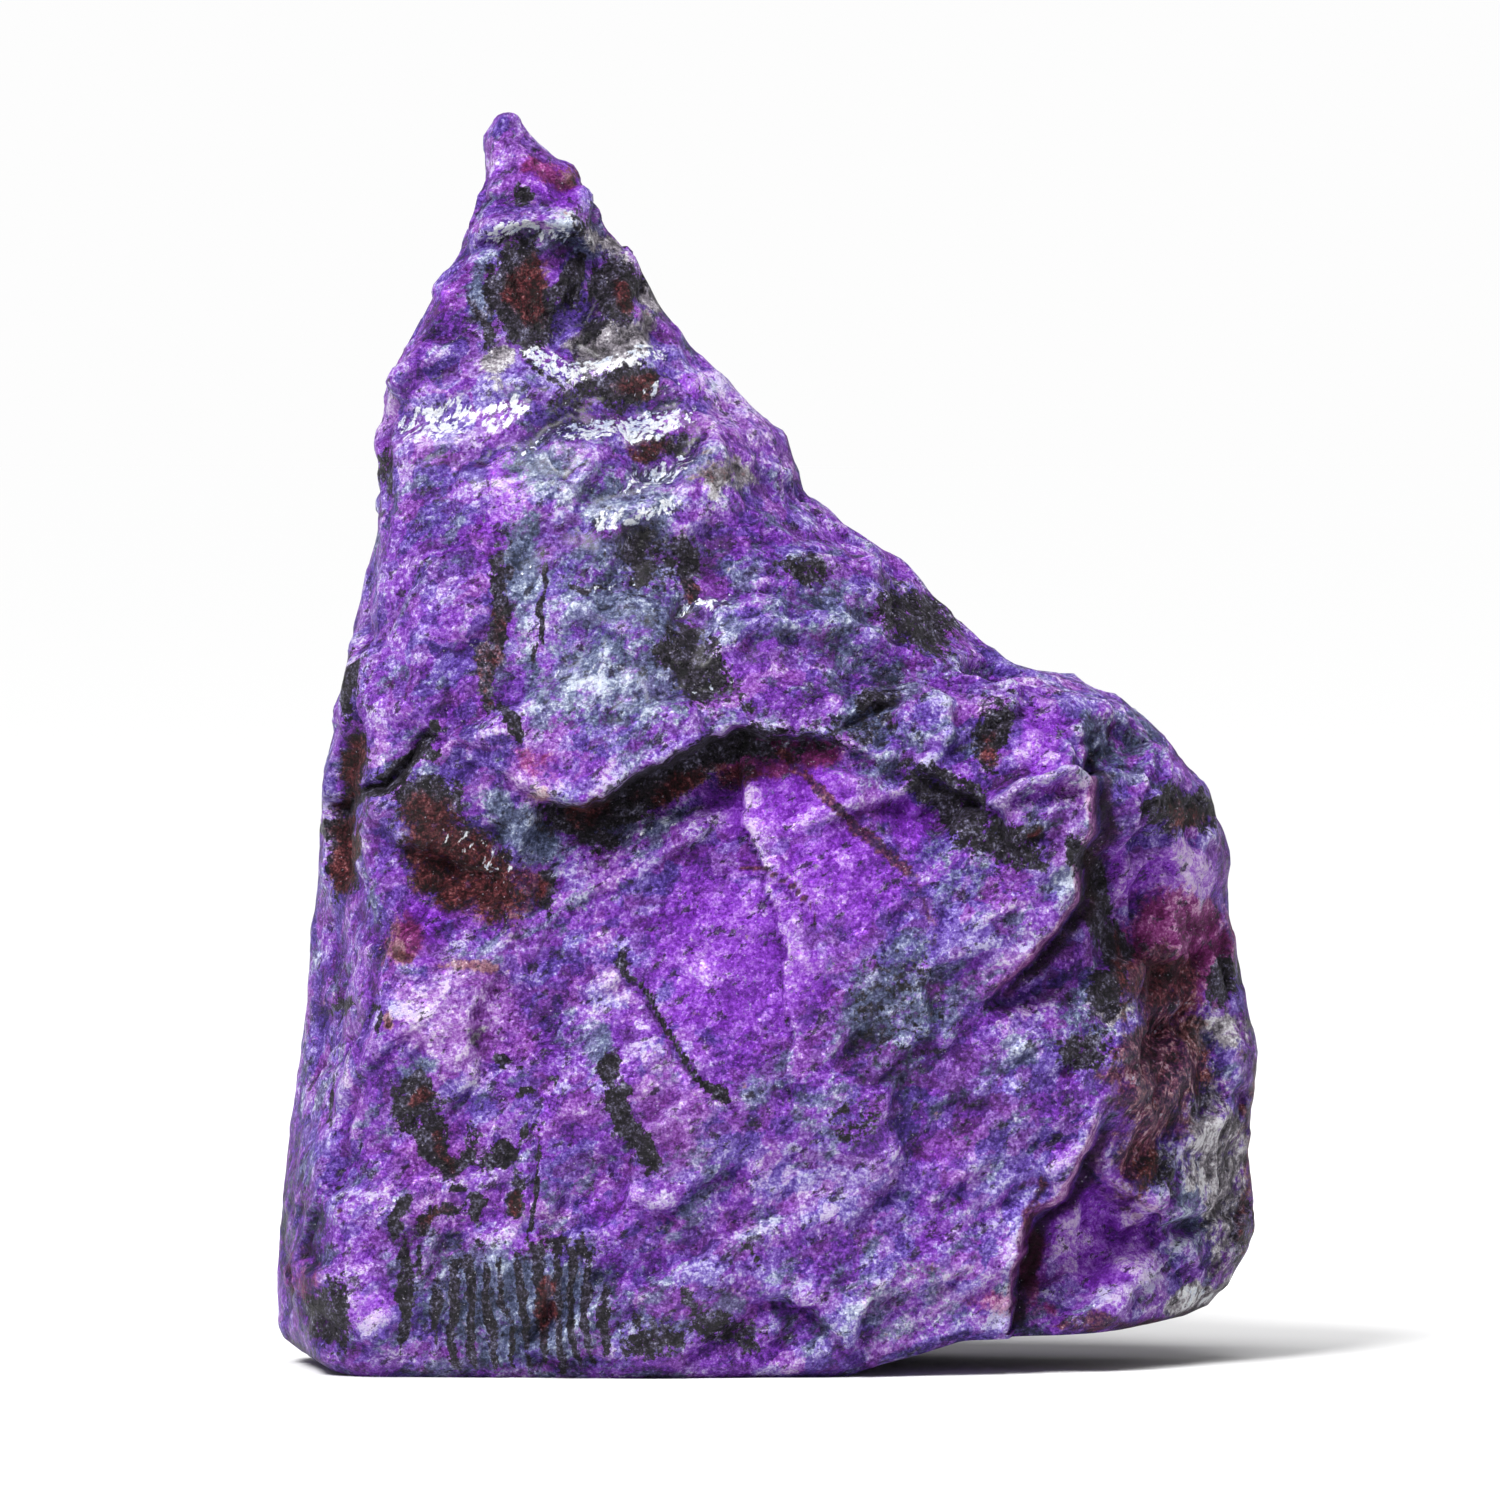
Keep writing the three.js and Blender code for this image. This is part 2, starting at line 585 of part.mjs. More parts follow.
function roughStone() {
  const turns = COLUMNS.flatMap((count, side) => Array.from({ length: count }, (_, i) => side + i / count));
  const plain = rowHeights().map((z) => plainRow(turns, z));
  const grid = plain.map((points, row) =>
    points.map((point, column) => finished(point, outward(plain, row, column), turns[column])),
  );
  fitPlan(grid);
  const material = new THREE.MeshStandardMaterial({ color: 0x6d3fb4, roughness: 0.45, metalness: 0 });
  const stone = new THREE.Mesh(closedSurface(grid), material);
  stone.name = "rough_sugilite";
  return stone;
}

const model = new THREE.Group();
model.add(roughStone());

export default model;
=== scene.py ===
# %% [markdown]
# # A rough sugilite
# Sugilite is a violet mineral. This lump was broken out of a seam that also held black manganese ore and
# a little red-brown iron, so one piece of rock carries all three colours. It stands on a flat spot under
# its left half. Such a lump could be sculpted by hand. Here its surface is one grid of points, worked out
# from a few stations, so that every shape has a name and can be changed. The colours are then painted as
# soft spots that a material breaks up into grain.

# %% Load the frame
import math
import bpy
import numpy as np
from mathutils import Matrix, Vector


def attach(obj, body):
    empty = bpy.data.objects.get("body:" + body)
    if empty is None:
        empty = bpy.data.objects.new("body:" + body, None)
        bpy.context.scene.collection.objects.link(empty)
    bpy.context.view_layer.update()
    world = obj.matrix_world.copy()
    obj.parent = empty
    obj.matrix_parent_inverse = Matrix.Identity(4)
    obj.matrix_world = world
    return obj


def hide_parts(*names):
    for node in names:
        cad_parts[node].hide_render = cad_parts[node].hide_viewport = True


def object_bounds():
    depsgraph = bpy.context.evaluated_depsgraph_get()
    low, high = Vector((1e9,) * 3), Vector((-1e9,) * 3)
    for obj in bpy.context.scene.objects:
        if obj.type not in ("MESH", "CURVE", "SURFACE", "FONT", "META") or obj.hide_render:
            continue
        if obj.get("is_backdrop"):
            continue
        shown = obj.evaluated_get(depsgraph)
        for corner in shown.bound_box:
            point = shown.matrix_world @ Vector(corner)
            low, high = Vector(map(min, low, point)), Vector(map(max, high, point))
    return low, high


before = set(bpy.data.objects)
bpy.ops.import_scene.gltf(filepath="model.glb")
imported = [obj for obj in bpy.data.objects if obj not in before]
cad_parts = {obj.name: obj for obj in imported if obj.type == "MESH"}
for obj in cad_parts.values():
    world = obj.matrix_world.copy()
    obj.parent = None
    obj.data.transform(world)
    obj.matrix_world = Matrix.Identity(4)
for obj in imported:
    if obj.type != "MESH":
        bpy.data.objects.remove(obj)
CAD_LOW, CAD_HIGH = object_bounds()
MM = 0.001
HEIGHT = CAD_HIGH.z / MM
print("the lump is", [round((high - low) / MM, 1) for low, high in zip(CAD_LOW, CAD_HIGH)], "mm")

# %% [markdown]
# ## The camera
# The lump was seen from straight in front and very slightly from above, by a lens far away. A long lens
# keeps its sides straight, so the picture is nearly a flat projection of the front.

# %% Camera
EYE_LIFT = math.radians(2.0)
LENS_MM = 400
SENSOR_MM = 36
PICTURE_WIDTH = 120.0  # millimetres across the whole picture, at the lump
LOOK_AT = np.array([-1.24, 0.0, 49.2])  # the middle of the picture
EYE_DISTANCE = PICTURE_WIDTH * LENS_MM / SENSOR_MM


def make_camera():
    """A long lens in front of the lump, lifted a little and tipped back down by the same angle."""
    data = bpy.data.cameras.new("camera")
    data.lens = LENS_MM
    data.sensor_width = SENSOR_MM
    data.clip_end = 20
    camera = bpy.data.objects.new("camera", data)
    back = np.array([0, -math.cos(EYE_LIFT), math.sin(EYE_LIFT)])
    camera.location = (LOOK_AT + back * EYE_DISTANCE) * MM
    camera.rotation_euler = (math.pi / 2 - EYE_LIFT, 0, 0)
    bpy.context.scene.collection.objects.link(camera)
    bpy.context.scene.camera = camera


make_camera()
print("the eye is", round(EYE_DISTANCE), "mm away")

# %% [markdown]
# ## Stations
# Every shape below is a value that changes along the height or along the width. A curve could say how,
# but a few stations and straight lines between them are easier to read and to correct, and
# numpy's interp does that for whole arrays at once.


# %% Helpers for stations and soft steps
def along(stations, at):
    """The straight line through stations of (at, value), level past both ends."""
    places, values = zip(*stations)
    return np.interp(at, places, values)


def smooth(low, high, value):
    """From 0 at low to 1 at high, level at both ends: 3t squared minus 2t cubed."""
    t = np.clip((value - low) / (high - low), 0, 1)
    return t * t * (3 - 2 * t)


print("a soft step from 0 to 4 is at", float(smooth(0, 4, 1)), "after its first quarter")

# %% [markdown]
# ## The outline
# The left edge is long and nearly straight, where the seam's wall was. The right edge steps back from a
# square shoulder to the tip. The foot is level under the left half only.

# %% Outline, foot and tip
FOOT_INSET = 1.1  # how far the worn rim of the foot is drawn in
FOOT_RIM = 0.8  # the height over which it is drawn in
FOOT_BLEND = 14  # the height over which the raised part of the foot levels out
KNOB_RIM = 99.3  # where the last section lies, under the rounded tip
LEFT_EDGE = [
    (0, -38.4), (1.8, -39.0), (5.7, -39.2), (11.7, -38.8), (18.9, -38.1), (27.3, -36.9), (38.1, -36.0),
    (47.7, -35.0), (57.3, -33.2), (66.5, -31.0), (69.3, -30.8), (73.7, -31.1), (79.1, -30.0),
    (84.1, -27.3), (86.0, -26.4), (88.5, -24.2), (90.7, -22.8), (93.2, -22.1), (98.3, -22.6),
    (KNOB_RIM, -21.9),
]
RIGHT_EDGE = [
    (0, 35.0), (3.3, 37.1), (6.7, 38.5), (9.8, 39.2), (13.2, 39.3), (16.9, 38.8), (24.9, 39.3),
    (28.9, 38.4), (36.9, 37.0), (40.2, 37.2), (44.5, 35.9), (47.7, 34.0), (50.2, 32.0), (52.6, 29.2),
    (54.4, 25.2), (55.9, 19.6), (57.7, 17.6), (64.4, 11.0), (66.9, 6.4), (69.7, 3.2), (74.5, 1.4),
    (76.3, -1.1), (79.0, -3.3), (81.2, -5.8), (83.7, -7.8), (88.5, -10.8), (90.9, -12.6), (93.1, -13.8),
    (95.2, -15.2), (96.4, -17.0), (98.3, -18.8), (KNOB_RIM, -19.5),
]
FOOT_LIFT = [
    (-38.8, 1.4), (-35.6, 0.5), (-32.4, 0), (6.4, 0), (9.2, 1.0), (12.4, 1.8), (15.6, 2.8), (28.4, 3.2),
    (34.8, 3.9),
]
print("the outline has", len(LEFT_EDGE), "stations on the left and", len(RIGHT_EDGE), "on the right")

# %% [markdown]
# ## The section
# Cut level anywhere, the lump is an octagon with blunt corners. Each corner is a ridge that runs from
# the foot to the tip. It lies in from the outline's left or right edge by its inset, and at its depth.

# %% The eight ridges
RIDGES = {
    "front left": (
        "left",
        [(0, 3.8), (17, 4.7), (26, 5.5), (34, 5.8), (45, 3.8), (60, 1.6), (86, 1.2), (99, 0.7)],
        [(0, -14.5), (8, -16), (20, -16.5), (44, -14.5), (60, -11), (72, -7.5), (91, -0.5), (99, 2.6)],
    ),
    "front middle": (
        "left",
        [(0, 30), (20, 31), (44, 29), (54, 27), (60, 22), (72, 17), (82, 10), (91, 6), (99, 1.3)],
        [(0, -17.5), (8, -19), (20, -19.6), (49, -18), (60, -15), (72, -10.5), (91, -2), (99, 2.2)],
    ),
    "front right": (
        "right",
        [(0, 9), (12, 13), (40, 11.5), (50, 6.5), (54, 3.5), (60, 4.2), (78, 4.4), (88, 1.8), (99, 0.6)],
        [(0, -13), (20, -15.5), (44, -15.5), (54, -11.5), (72, -6.5), (91, -0.2), (99, 3)],
    ),
    "right edge": ("right", [(0, 0)], [(0, 2), (30, 2.5), (48, 0), (60, 1.5), (82, 3), (99, 4.2)]),
    "back right": (
        "right",
        [(0, 6), (20, 7), (44, 8), (54, 5), (72, 4), (91, 2), (99, 0.6)],
        [(0, 13), (20, 14.5), (49, 12), (60, 12), (82, 9.5), (91, 8), (99, 5.6)],
    ),
    "back middle": (
        "left",
        [(0, 27), (30, 33), (54, 24), (72, 13), (91, 5), (99, 1.2)],
        [(0, 16.5), (20, 18), (44, 19), (60, 18), (72, 16.5), (82, 14), (91, 11), (99, 6.2)],
    ),
    "back left": (
        "left",
        [(0, 4.5), (30, 6), (54, 4), (72, 3), (91, 1.5), (99, 0.6)],
        [(0, 14), (20, 16), (44, 16), (60, 15), (82, 12), (91, 9.5), (99, 5.8)],
    ),
    "left edge": ("left", [(0, 0)], [(0, 3), (44, 1.5), (72, 3), (99, 4.2)]),
}
RIDGE_ROUNDING = 0.16  # the share of a side that is rounded next to each ridge
RIGHT_EDGE_AT = 3  # the ridge numbers of the outline's own edges
LEFT_EDGE_AT = 7
print("round the section:", ", ".join(RIDGES))

# %% [markdown]
# ## The grid
# The first parameter runs round the section, from 0 to 8 through the ridges, and the second is the
# height. A remeshed block would have evener faces, but on a grid each point keeps its row and column, so
# relief and paint are plain arrays. The front gets most of the columns, because that is where the broken
# face has its detail. The whole mesh stays just under 200,000 triangles.

# %% Columns and rows
COLUMNS = [110, 94, 61, 33, 30, 34, 27, 29]
ROW_PITCH = [(0, 0.46), (42, 0.46), (45, 0.34), (51, 0.34), (54, 0.46), (84, 0.46), (96, 0.36)]


def row_heights():
    """Heights from the foot to the knob, each one pitch above the last."""
    heights = [0.0, FOOT_RIM * 0.5]
    while heights[-1] < KNOB_RIM:
        heights.append(heights[-1] + float(along(ROW_PITCH, heights[-1])))
    heights[-1] = KNOB_RIM
    return np.array(heights)


TURNS = np.concatenate([side + np.arange(count) / count for side, count in enumerate(COLUMNS)])
HEIGHTS = row_heights()
print(len(HEIGHTS), "rows of", len(TURNS), "points")

# %% [markdown]
# ## Flakes
# Where a large flake came off, the rock has a flat face. It could be cut off with a Boolean, which would
# leave long thin triangles. Instead, a point that stands out beyond such a face is moved back onto it.

# %% Flakes
FLAKES = {
    "right shoulder of the back": ((20, 11, 50), (0.5, 0.78, 0.4)),
    "lower back on the left": ((-28, 14.5, 14), (-0.55, 0.8, -0.2)),
    "foot of the back": ((2, 15.5, 9), (0.12, 0.9, -0.4)),
    "upper back": ((-15, 13.4, 76), (0.25, 0.93, 0.25)),
    "left side of the back": ((-32, 12, 50), (-0.75, 0.65, 0.12)),
    "lower right of the back": ((33, 10.5, 16), (0.72, 0.66, -0.08)),
    "middle of the back": ((8, 16.8, 34), (0.2, 0.97, 0.05)),
    "left front of the upper part": ((-29, -8.6, 66), (-0.55, -0.8, 0.22)),
}


def flaked(x, y, z):
    """Each point less the part that stands beyond a flake's face, along the face's level direction."""
    for through, facing in FLAKES.values():
        nx, ny, nz = np.array(facing) / np.linalg.norm(facing)
        beyond = (x - through[0]) * nx + (y - through[1]) * ny + (z - through[2]) * nz
        beyond = np.maximum(beyond, 0)
        x = x - beyond * nx
        y = y - beyond * ny
    return x, y


print(len(FLAKES), "flat faces where flakes came off")

# %% [markdown]
# ## The plain surface
# Here the section's corners, their rounding, the outline and the flakes come together in one array of
# points. It has no relief yet: it is the block that the ledges are then cut into.


# %% The plain surface
def ridge_places():
    """Each ridge's x and y at every height, as two arrays of 8 by rows."""
    left, right = along(LEFT_EDGE, HEIGHTS), along(RIGHT_EDGE, HEIGHTS)
    xs, ys = [], []
    for side, inset, depth in RIDGES.values():
        away = along(inset, HEIGHTS)
        xs.append(left + away if side == "left" else right - away)
        ys.append(along(depth, HEIGHTS))
    return np.array(xs), np.array(ys)


def section(corners):
    """A straight line from corner to corner, with a parabola over the rounded share at each."""
    before = np.floor(TURNS).astype(int)
    share = (TURNS - before)[:, None]
    plain = corners[before] * (1 - share) + corners[(before + 1) % 8] * share
    nearest = np.round(TURNS).astype(int) % 8
    away = np.abs(TURNS - np.round(TURNS))
    round_off = np.maximum(RIDGE_ROUNDING - away, 0) ** 2 / (4 * RIDGE_ROUNDING)
    bend = corners[(nearest + 1) % 8] + corners[nearest - 1] - 2 * corners[nearest]
    return (plain + bend * round_off[:, None]).T


def plain_surface():
    """Rows of sections, stretched to the outline, flaked, and drawn in at the rim of the foot."""
    corner_x, corner_y = ridge_places()
    x, y = section(corner_x), section(corner_y)
    low, high = along(LEFT_EDGE, HEIGHTS)[:, None], along(RIGHT_EDGE, HEIGHTS)[:, None]
    left, right = x.min(1, keepdims=True), x.max(1, keepdims=True)
    x = low + (x - left) * (high - low) / (right - left)
    z = np.repeat(HEIGHTS[:, None], len(TURNS), 1)
    x, y = flaked(x, y, z)
    inset = FOOT_INSET * np.maximum(0, 1 - z / FOOT_RIM)
    middle = (low + high) / 2
    share = inset / np.hypot(x - middle, y)
    return np.stack([x + (middle - x) * share, y * (1 - share), z], -1)


def outward(grid):
    """The unit normal at each grid point: the step along the row crossed with the step up."""
    across = np.roll(grid, -1, 1) - np.roll(grid, 1, 1)
    up = np.empty_like(grid)
    up[1:-1] = grid[2:] - grid[:-2]
    up[0] = grid[1] - grid[0]
    up[-1] = grid[-1] - grid[-2]
    normal = np.cross(across, up)
    return normal / np.linalg.norm(normal, axis=-1, keepdims=True)


PLAIN = plain_surface()
NORMALS = outward(PLAIN)
print("the plain block is", np.ptp(PLAIN.reshape(-1, 3), 0).round(1), "mm")

# %% [markdown]
# ## Chance that stays the same
# Broken rock is irregular, but a lesson has to give the same lump every time. A whole-number hash of a
# lattice point gives a fixed number from 0 to 1. Three kinds of noise are made of it. Rolling noise
# blends the lattice's numbers. Bowls, the squared distance to the nearest scattered point, look like the
# shallow chips of a conchoidal break. Facets are small tilted planes, like grains that split along a
# cleavage.


# %% A fixed number for each lattice point
def scatter(x, y, z, salt):
    """A fixed number from 0 to 1 for each lattice point, by mixing the bits of its three indices."""
    x, y, z = (axis.astype(np.int64).astype(np.uint32) for axis in (x, y, z))
    h = x * np.uint32(374761393) + y * np.uint32(668265263)
    h = h + z * np.uint32(1274126177) + np.uint32(salt * 974634777 % 2**32)
    h = (h ^ (h >> np.uint32(13))) * np.uint32(1103515245)
    h = (h ^ (h >> np.uint32(15))) * np.uint32(2246822519)
    return (h ^ (h >> np.uint32(16))) / 2.0**32


print("three neighbours get", scatter(np.arange(3), np.zeros(3), np.zeros(3), 1).round(2))

# %% Bowls
BOWL_WAVE = 0.22  # how far a wave bends the bowls' borders, in cells
BOWL_MEAN = 0.35


def bowls(points, cell, salt):
    """The squared distance, in cells, to the nearest of one scattered point per cell, less its mean."""
    x, y, z = np.moveaxis(points, -1, 0)
    wave = BOWL_WAVE * cell
    spots = [
        (x + wave * np.sin(z / (0.6 * cell) + salt)) / cell,
        (y + wave * np.sin(x / (0.7 * cell) + salt)) / cell,
        (z + wave * np.sin(y / (0.5 * cell) + salt)) / cell,
    ]
    base = [np.floor(spot) for spot in spots]
    nearest = np.full(x.shape, np.inf)
    for step in np.ndindex(3, 3, 3):
        lattice = [b + s - 1 for b, s in zip(base, step)]
        parts = [
            (lattice[axis] + scatter(*lattice, salt + axis) - spots[axis]) ** 2 for axis in range(3)
        ]
        nearest = np.minimum(nearest, sum(parts))
    return nearest - BOWL_MEAN


print("bowls over the plain block swing by", round(float(bowls(PLAIN, 6.5, 17).std()), 2))


# %% Facets
def facets(points, cell, salt, crisp):
    """A tilted plane round each of one scattered point per cell, blended over narrow borders."""
    spots = np.moveaxis(points, -1, 0) / np.reshape(cell, (-1, 1, 1))
    base = np.floor(spots)
    heights, weights = 0, 0
    for step in np.ndindex(3, 3, 3):
        lattice = [b + s - 1 for b, s in zip(base, step)]
        off = [spots[axis] - lattice[axis] - scatter(*lattice, salt + axis) for axis in range(3)]
        weight = np.exp(-crisp * sum(part**2 for part in off))
        tilt = sum((2 * scatter(*lattice, salt + 3 + axis) - 1) * off[axis] for axis in range(3))
        heights = heights + weight * (tilt + scatter(*lattice, salt + 6) - 0.5)
        weights = weights + weight
    return heights / weights


print("facets over the plain block swing by", round(float(facets(PLAIN, 5.5, 151, 24).std()), 2))


# %% Rolling noise and crumple
def rolling(points, cell, salt):
    """Numbers from -1 to 1 at the lattice points, blended smoothly in between."""
    spots = np.moveaxis(points, -1, 0) / np.reshape(cell, (-1, 1, 1))
    base = np.floor(spots)
    share = smooth(0, 1, spots - base)
    value = 0
    for step in np.ndindex(2, 2, 2):
        corner = [b + s for b, s in zip(base, step)]
        weight = 1
        for axis in range(3):
            weight = weight * (share[axis] if step[axis] else 1 - share[axis])
        value = value + weight * scatter(*corner, salt)
    return 2 * value - 1


OCTAVE_HEIGHT = 0.55


def crumpled(points, cell, salt, octaves):
    """Rolling noise, with half the size and about half the height at each further octave."""
    return sum(OCTAVE_HEIGHT**k * rolling(points, cell / 2**k, salt + 7 * k) for k in range(octaves))


print("crumple over the plain block swings by", round(float(crumpled(PLAIN, 4.0, 53, 3).std()), 2))


# %% [markdown]
# ## Ledges
# The seam broke in steps. Each ledge is a path in the front view with a drop at every station: the rock
# on the right of the path, for someone who walks along it, lies lower, after a steep wall, and comes
# back up over the run. The upper part has a flight of small shelves, and the back has three long steps.
# Two slow noises bend the view first, so that no edge is ruler-straight.

# %% Ledges: wall and run, then x, height and drop at each station
FRONT_LEDGES = {
    "brow across the middle": (2.6, 11, [
        (-22, 48.2, 0.5), (-18, 46, 1.8), (-16, 45.3, 4.4), (-14, 45.7, 5.8), (-10.9, 46.9, 6.2),
        (-6.3, 49, 6), (-4.2, 50.7, 5.6), (-2.1, 51.6, 4.8), (0.1, 50.8, 3.6), (4, 50.7, 2.2), (13, 48, 0),
    ]),
    "step above the brow's end": (1.8, 4, [
        (4.6, 50.9, 0), (6.8, 52.4, 1.4), (9.2, 53.5, 1.4), (12.5, 53.7, 0),
    ]),
    "shoulder step": (2, 6, [
        (10.5, 50.2, 0), (14.2, 47.3, 2.8), (18, 44.7, 2.8), (19.8, 40.9, 1.4), (21.2, 38.5, 0),
    ]),
    "right side scarp": (2, 9, [
        (17.4, 29.6, 0), (18.9, 31.1, 2.2), (21, 33.4, 3.6), (24.9, 37.6, 4.6), (24.3, 40.8, 4.6),
        (25.6, 42.8, 4.2), (25.2, 44.6, 3.6), (25.6, 47.4, 2.4), (25.2, 50.6, 1.4), (24.2, 53.5, 0),
    ]),
    "lower right scarp": (2, 12, [
        (19.6, 2.6, 3), (20.3, 5.5, 4.4), (20.8, 9.8, 5.2), (21.3, 12, 5.2), (23.9, 14.4, 4.8),
        (25.2, 17, 3.8), (25.8, 19, 2.8), (26.6, 22, 0),
    ]),
    "rib beyond the lower right hollow": (2.4, 5, [
        (25.6, 18, 0), (26.4, 16, 1.8), (28.8, 13.4, 2), (31.6, 8.8, 1.4), (32.5, 5, 0),
    ]),
    "lip by the foot": (1.8, 5, [
        (-2, 10.1, 0), (0.8, 6.9, 0.8), (4.4, 4.5, 1), (6.8, 2.1, 1), (8, 0.6, 0.6),
    ]),
    "lip under the tip": (1.8, 4.5, [
        (-24.4, 87.6, 0), (-22, 89.7, 1.4), (-18.8, 90.6, 1.8), (-15.2, 90.2, 1.6), (-12.8, 88.9, 1),
        (-10.5, 85.8, 0),
    ]),
    "left bevel's crease": (1.6, 3.5, [
        (-29.6, 39, 0), (-30.2, 33, 0.8), (-31.2, 27, 1), (-33.6, 20, 0.8), (-35, 4, 0.5),
    ]),
}
print(len(FRONT_LEDGES), "ledges in front")

# %% Shelves of the upper part, and steps of the back
SHELVES = {
    "tip shelf": (2.4, 3, [
        (-12.6, 90.6, 0), (-15.4, 91.9, 1), (-19, 92.2, 1.2), (-22, 91, 0),
    ]),
    "first shelf": (2.8, 3.2, [
        (-5.5, 82.4, 0), (-8.8, 81.3, 1.3), (-15.1, 80, 1.9), (-17.4, 79.7, 1.8), (-22, 79.7, 0),
    ]),
    "second shelf": (2.8, 3.2, [
        (-5.2, 77.4, 0), (-6.6, 76.9, 1.5), (-10, 75.6, 2.1), (-15.3, 74.2, 1.8), (-21, 73, 0),
    ]),
    "left shelf": (3, 3.6, [
        (-15.8, 78.4, 0), (-18, 77.6, 1), (-22.5, 75.9, 1.5), (-28.4, 74.2, 1.8), (-30.4, 73.5, 0.9),
    ]),
    "third shelf": (2.8, 3.2, [
        (-4.6, 72.8, 0), (-5.9, 72.2, 1.2), (-8.8, 70.2, 1.8), (-13.2, 67.8, 1.6), (-17, 66, 0),
    ]),
    "fourth shelf": (2, 2.6, [
        (-1, 62.6, 0), (-2.8, 62, 1.2), (-6.4, 60.7, 1.2), (-11.3, 62.8, 0.5), (-14.4, 62.2, 0.8),
        (-16, 61.6, 0),
    ]),
    "fifth shelf": (1.8, 2.4, [
        (-0.6, 55.6, 0), (-2.5, 55, 1.1), (-6.4, 53.6, 1.1), (-8.4, 53, 0),
    ]),
}
BACK_LEDGES = {
    "long step across the back": (4.5, 12, [
        (30, 38, 0), (20, 43, 1.8), (8, 46, 3), (-2, 54, 3.2), (-12, 57.5, 3.4), (-24, 55, 2.4),
        (-34, 58, 0),
    ]),
    "low scarp on the back": (4.5, 10, [
        (33, 6, 0), (28, 12, 1.6), (16, 22, 2.6), (6, 26, 2.6), (-6, 22, 3), (-20, 24, 2.2), (-30, 30, 0),
    ]),
    "back step under the tip": (3.6, 7, [
        (-8, 76, 0), (-14, 79.5, 1.8), (-21, 77, 1.6), (-27, 80, 0),
    ]),
}
print(len(SHELVES), "shelves above the brow, and", len(BACK_LEDGES), "steps behind")

# %% How a ledge shapes the rock
WALL_SHARE = 0.42  # a ledge's wall here, as a share of the wall in the plain solid
SHELF_SHARE = 0.9  # and a shelf's
LIP = 0.16  # the share of the drop by which the edge stands up along a ledge
LIP_WIDTH = 1.1


def walk(path, x, z):
    """The signed distance to a path, above zero on its right, and the value carried along it."""
    nearest = np.full(x.shape, np.inf)
    side = np.zeros(x.shape)
    carried = np.zeros(x.shape)
    for (ax, az, a), (bx, bz, b) in zip(path, path[1:]):
        ux, uz = bx - ax, bz - az
        share = np.clip(((x - ax) * ux + (z - az) * uz) / (ux * ux + uz * uz), 0, 1)
        ox, oz = x - ax - share * ux, z - az - share * uz
        away = np.hypot(ox, oz)
        closer = away < nearest
        nearest = np.where(closer, away, nearest)
        side = np.where(closer, np.sign(ox * uz - oz * ux), side)
        carried = np.where(closer, a + (b - a) * share, carried)
    return side * nearest, carried


def ledge_relief(ledges, x, z, share):
    """Minus each ledge's drop after its wall, fading over its run, plus a low lip before it."""
    out = np.zeros(x.shape)
    for wall, run, path in ledges.values():
        down, drop = walk(path, x, z)
        half = wall * share / 2
        out -= drop * smooth(-half, half, down) * np.exp(-np.maximum(0, down) / run)
        out += LIP * drop * np.exp(-np.maximum(-down, 0) / LIP_WIDTH) * smooth(half, -half, down)
    return out


under_brow = ledge_relief(FRONT_LEDGES, np.zeros(1), np.full(1, 47.0), WALL_SHARE)
print("under the brow the rock lies back by", round(-float(under_brow[0]), 1), "mm")

# %% [markdown]
# ## Swells and hollows
# Between the ledges the break is a shallow landscape: a domed shell in the middle, a hollow where dark
# rock fell out, a valley beside the right-hand scarp. Small lumps and pits, under a millimetre high, lie
# where a patch of another mineral was left standing or fell out. Each is a soft turned oval.

# %% Swells, x, height, half sizes, turn and how far each stands out
FRONT_SWELLS = {
    "domed shell in the middle": (-2, 37, 10, 8.5, -15, 1.4),
    "top of the brow": (-9, 54, 12, 6, 10, 1.4),
    "hollow with dark rock": (-24.5, 40.5, 5.2, 4.6, -20, -3),
    "lump under that hollow": (-27, 28.5, 4, 3.4, 0, 1.2),
    "lower right hollow": (26.5, 10, 4.2, 5.5, 25, -1.8),
    "valley beside the scarp": (28.2, 37, 2.6, 10, 8, -2.4),
    "right hand boss": (32.5, 44, 4.5, 7, 20, 1.6),
    "right hand hollow": (33.5, 31, 4, 6, -20, -1.8),
    "scoop under the tip's lip": (-18, 85.5, 5, 3.4, 0, -1.2),
    "bright shelf below it": (-16, 79.6, 6.5, 1.8, 8, 0.9),
    "upper left facet": (-26, 66, 3.2, 9, 4, 0.9),
    "lobe by the foot": (12, 6, 7, 3.6, 12, 1.3),
    "lump at the left foot": (-31.5, 5, 2.6, 4, 8, 0.8),
    "swell left of the dome": (-11.5, 23, 6, 4, 30, 0.9),
}
SMALL_LUMPS = {
    "violet lump below the left shelf": (-20.4, 70, 2.1, 3, 0, 0.9),
    "ash lump below the scoop": (-12.3, 82, 3, 1.8, 22, 0.7),
    "violet tile on the shoulder": (22, 49.8, 1.9, 2.8, 0, 0.6),
    "tile beside the valley": (29, 39.4, 1.2, 3, 15, 0.5),
    "pit of the ringed patch": (-28, 20.6, 1.7, 2, 0, -0.5),
    "pit of the lens": (21.4, 42.6, 1.4, 0.7, 18, -0.7),
    "groove of the bar": (-11.4, 20.4, 0.9, 4, 24, -0.4),
    "pit left of the hollow": (-33.2, 47.5, 1.4, 3.4, -8, -0.6),
}
BACK_SWELLS = {
    "upper boss of the back": (-14, 66, 9, 7, 20, 1.6),
    "hollow of the back": (4, 36, 9, 5, -20, -2),
    "foot of the back": (-20, 10, 9, 6, 0, 1.2),
}


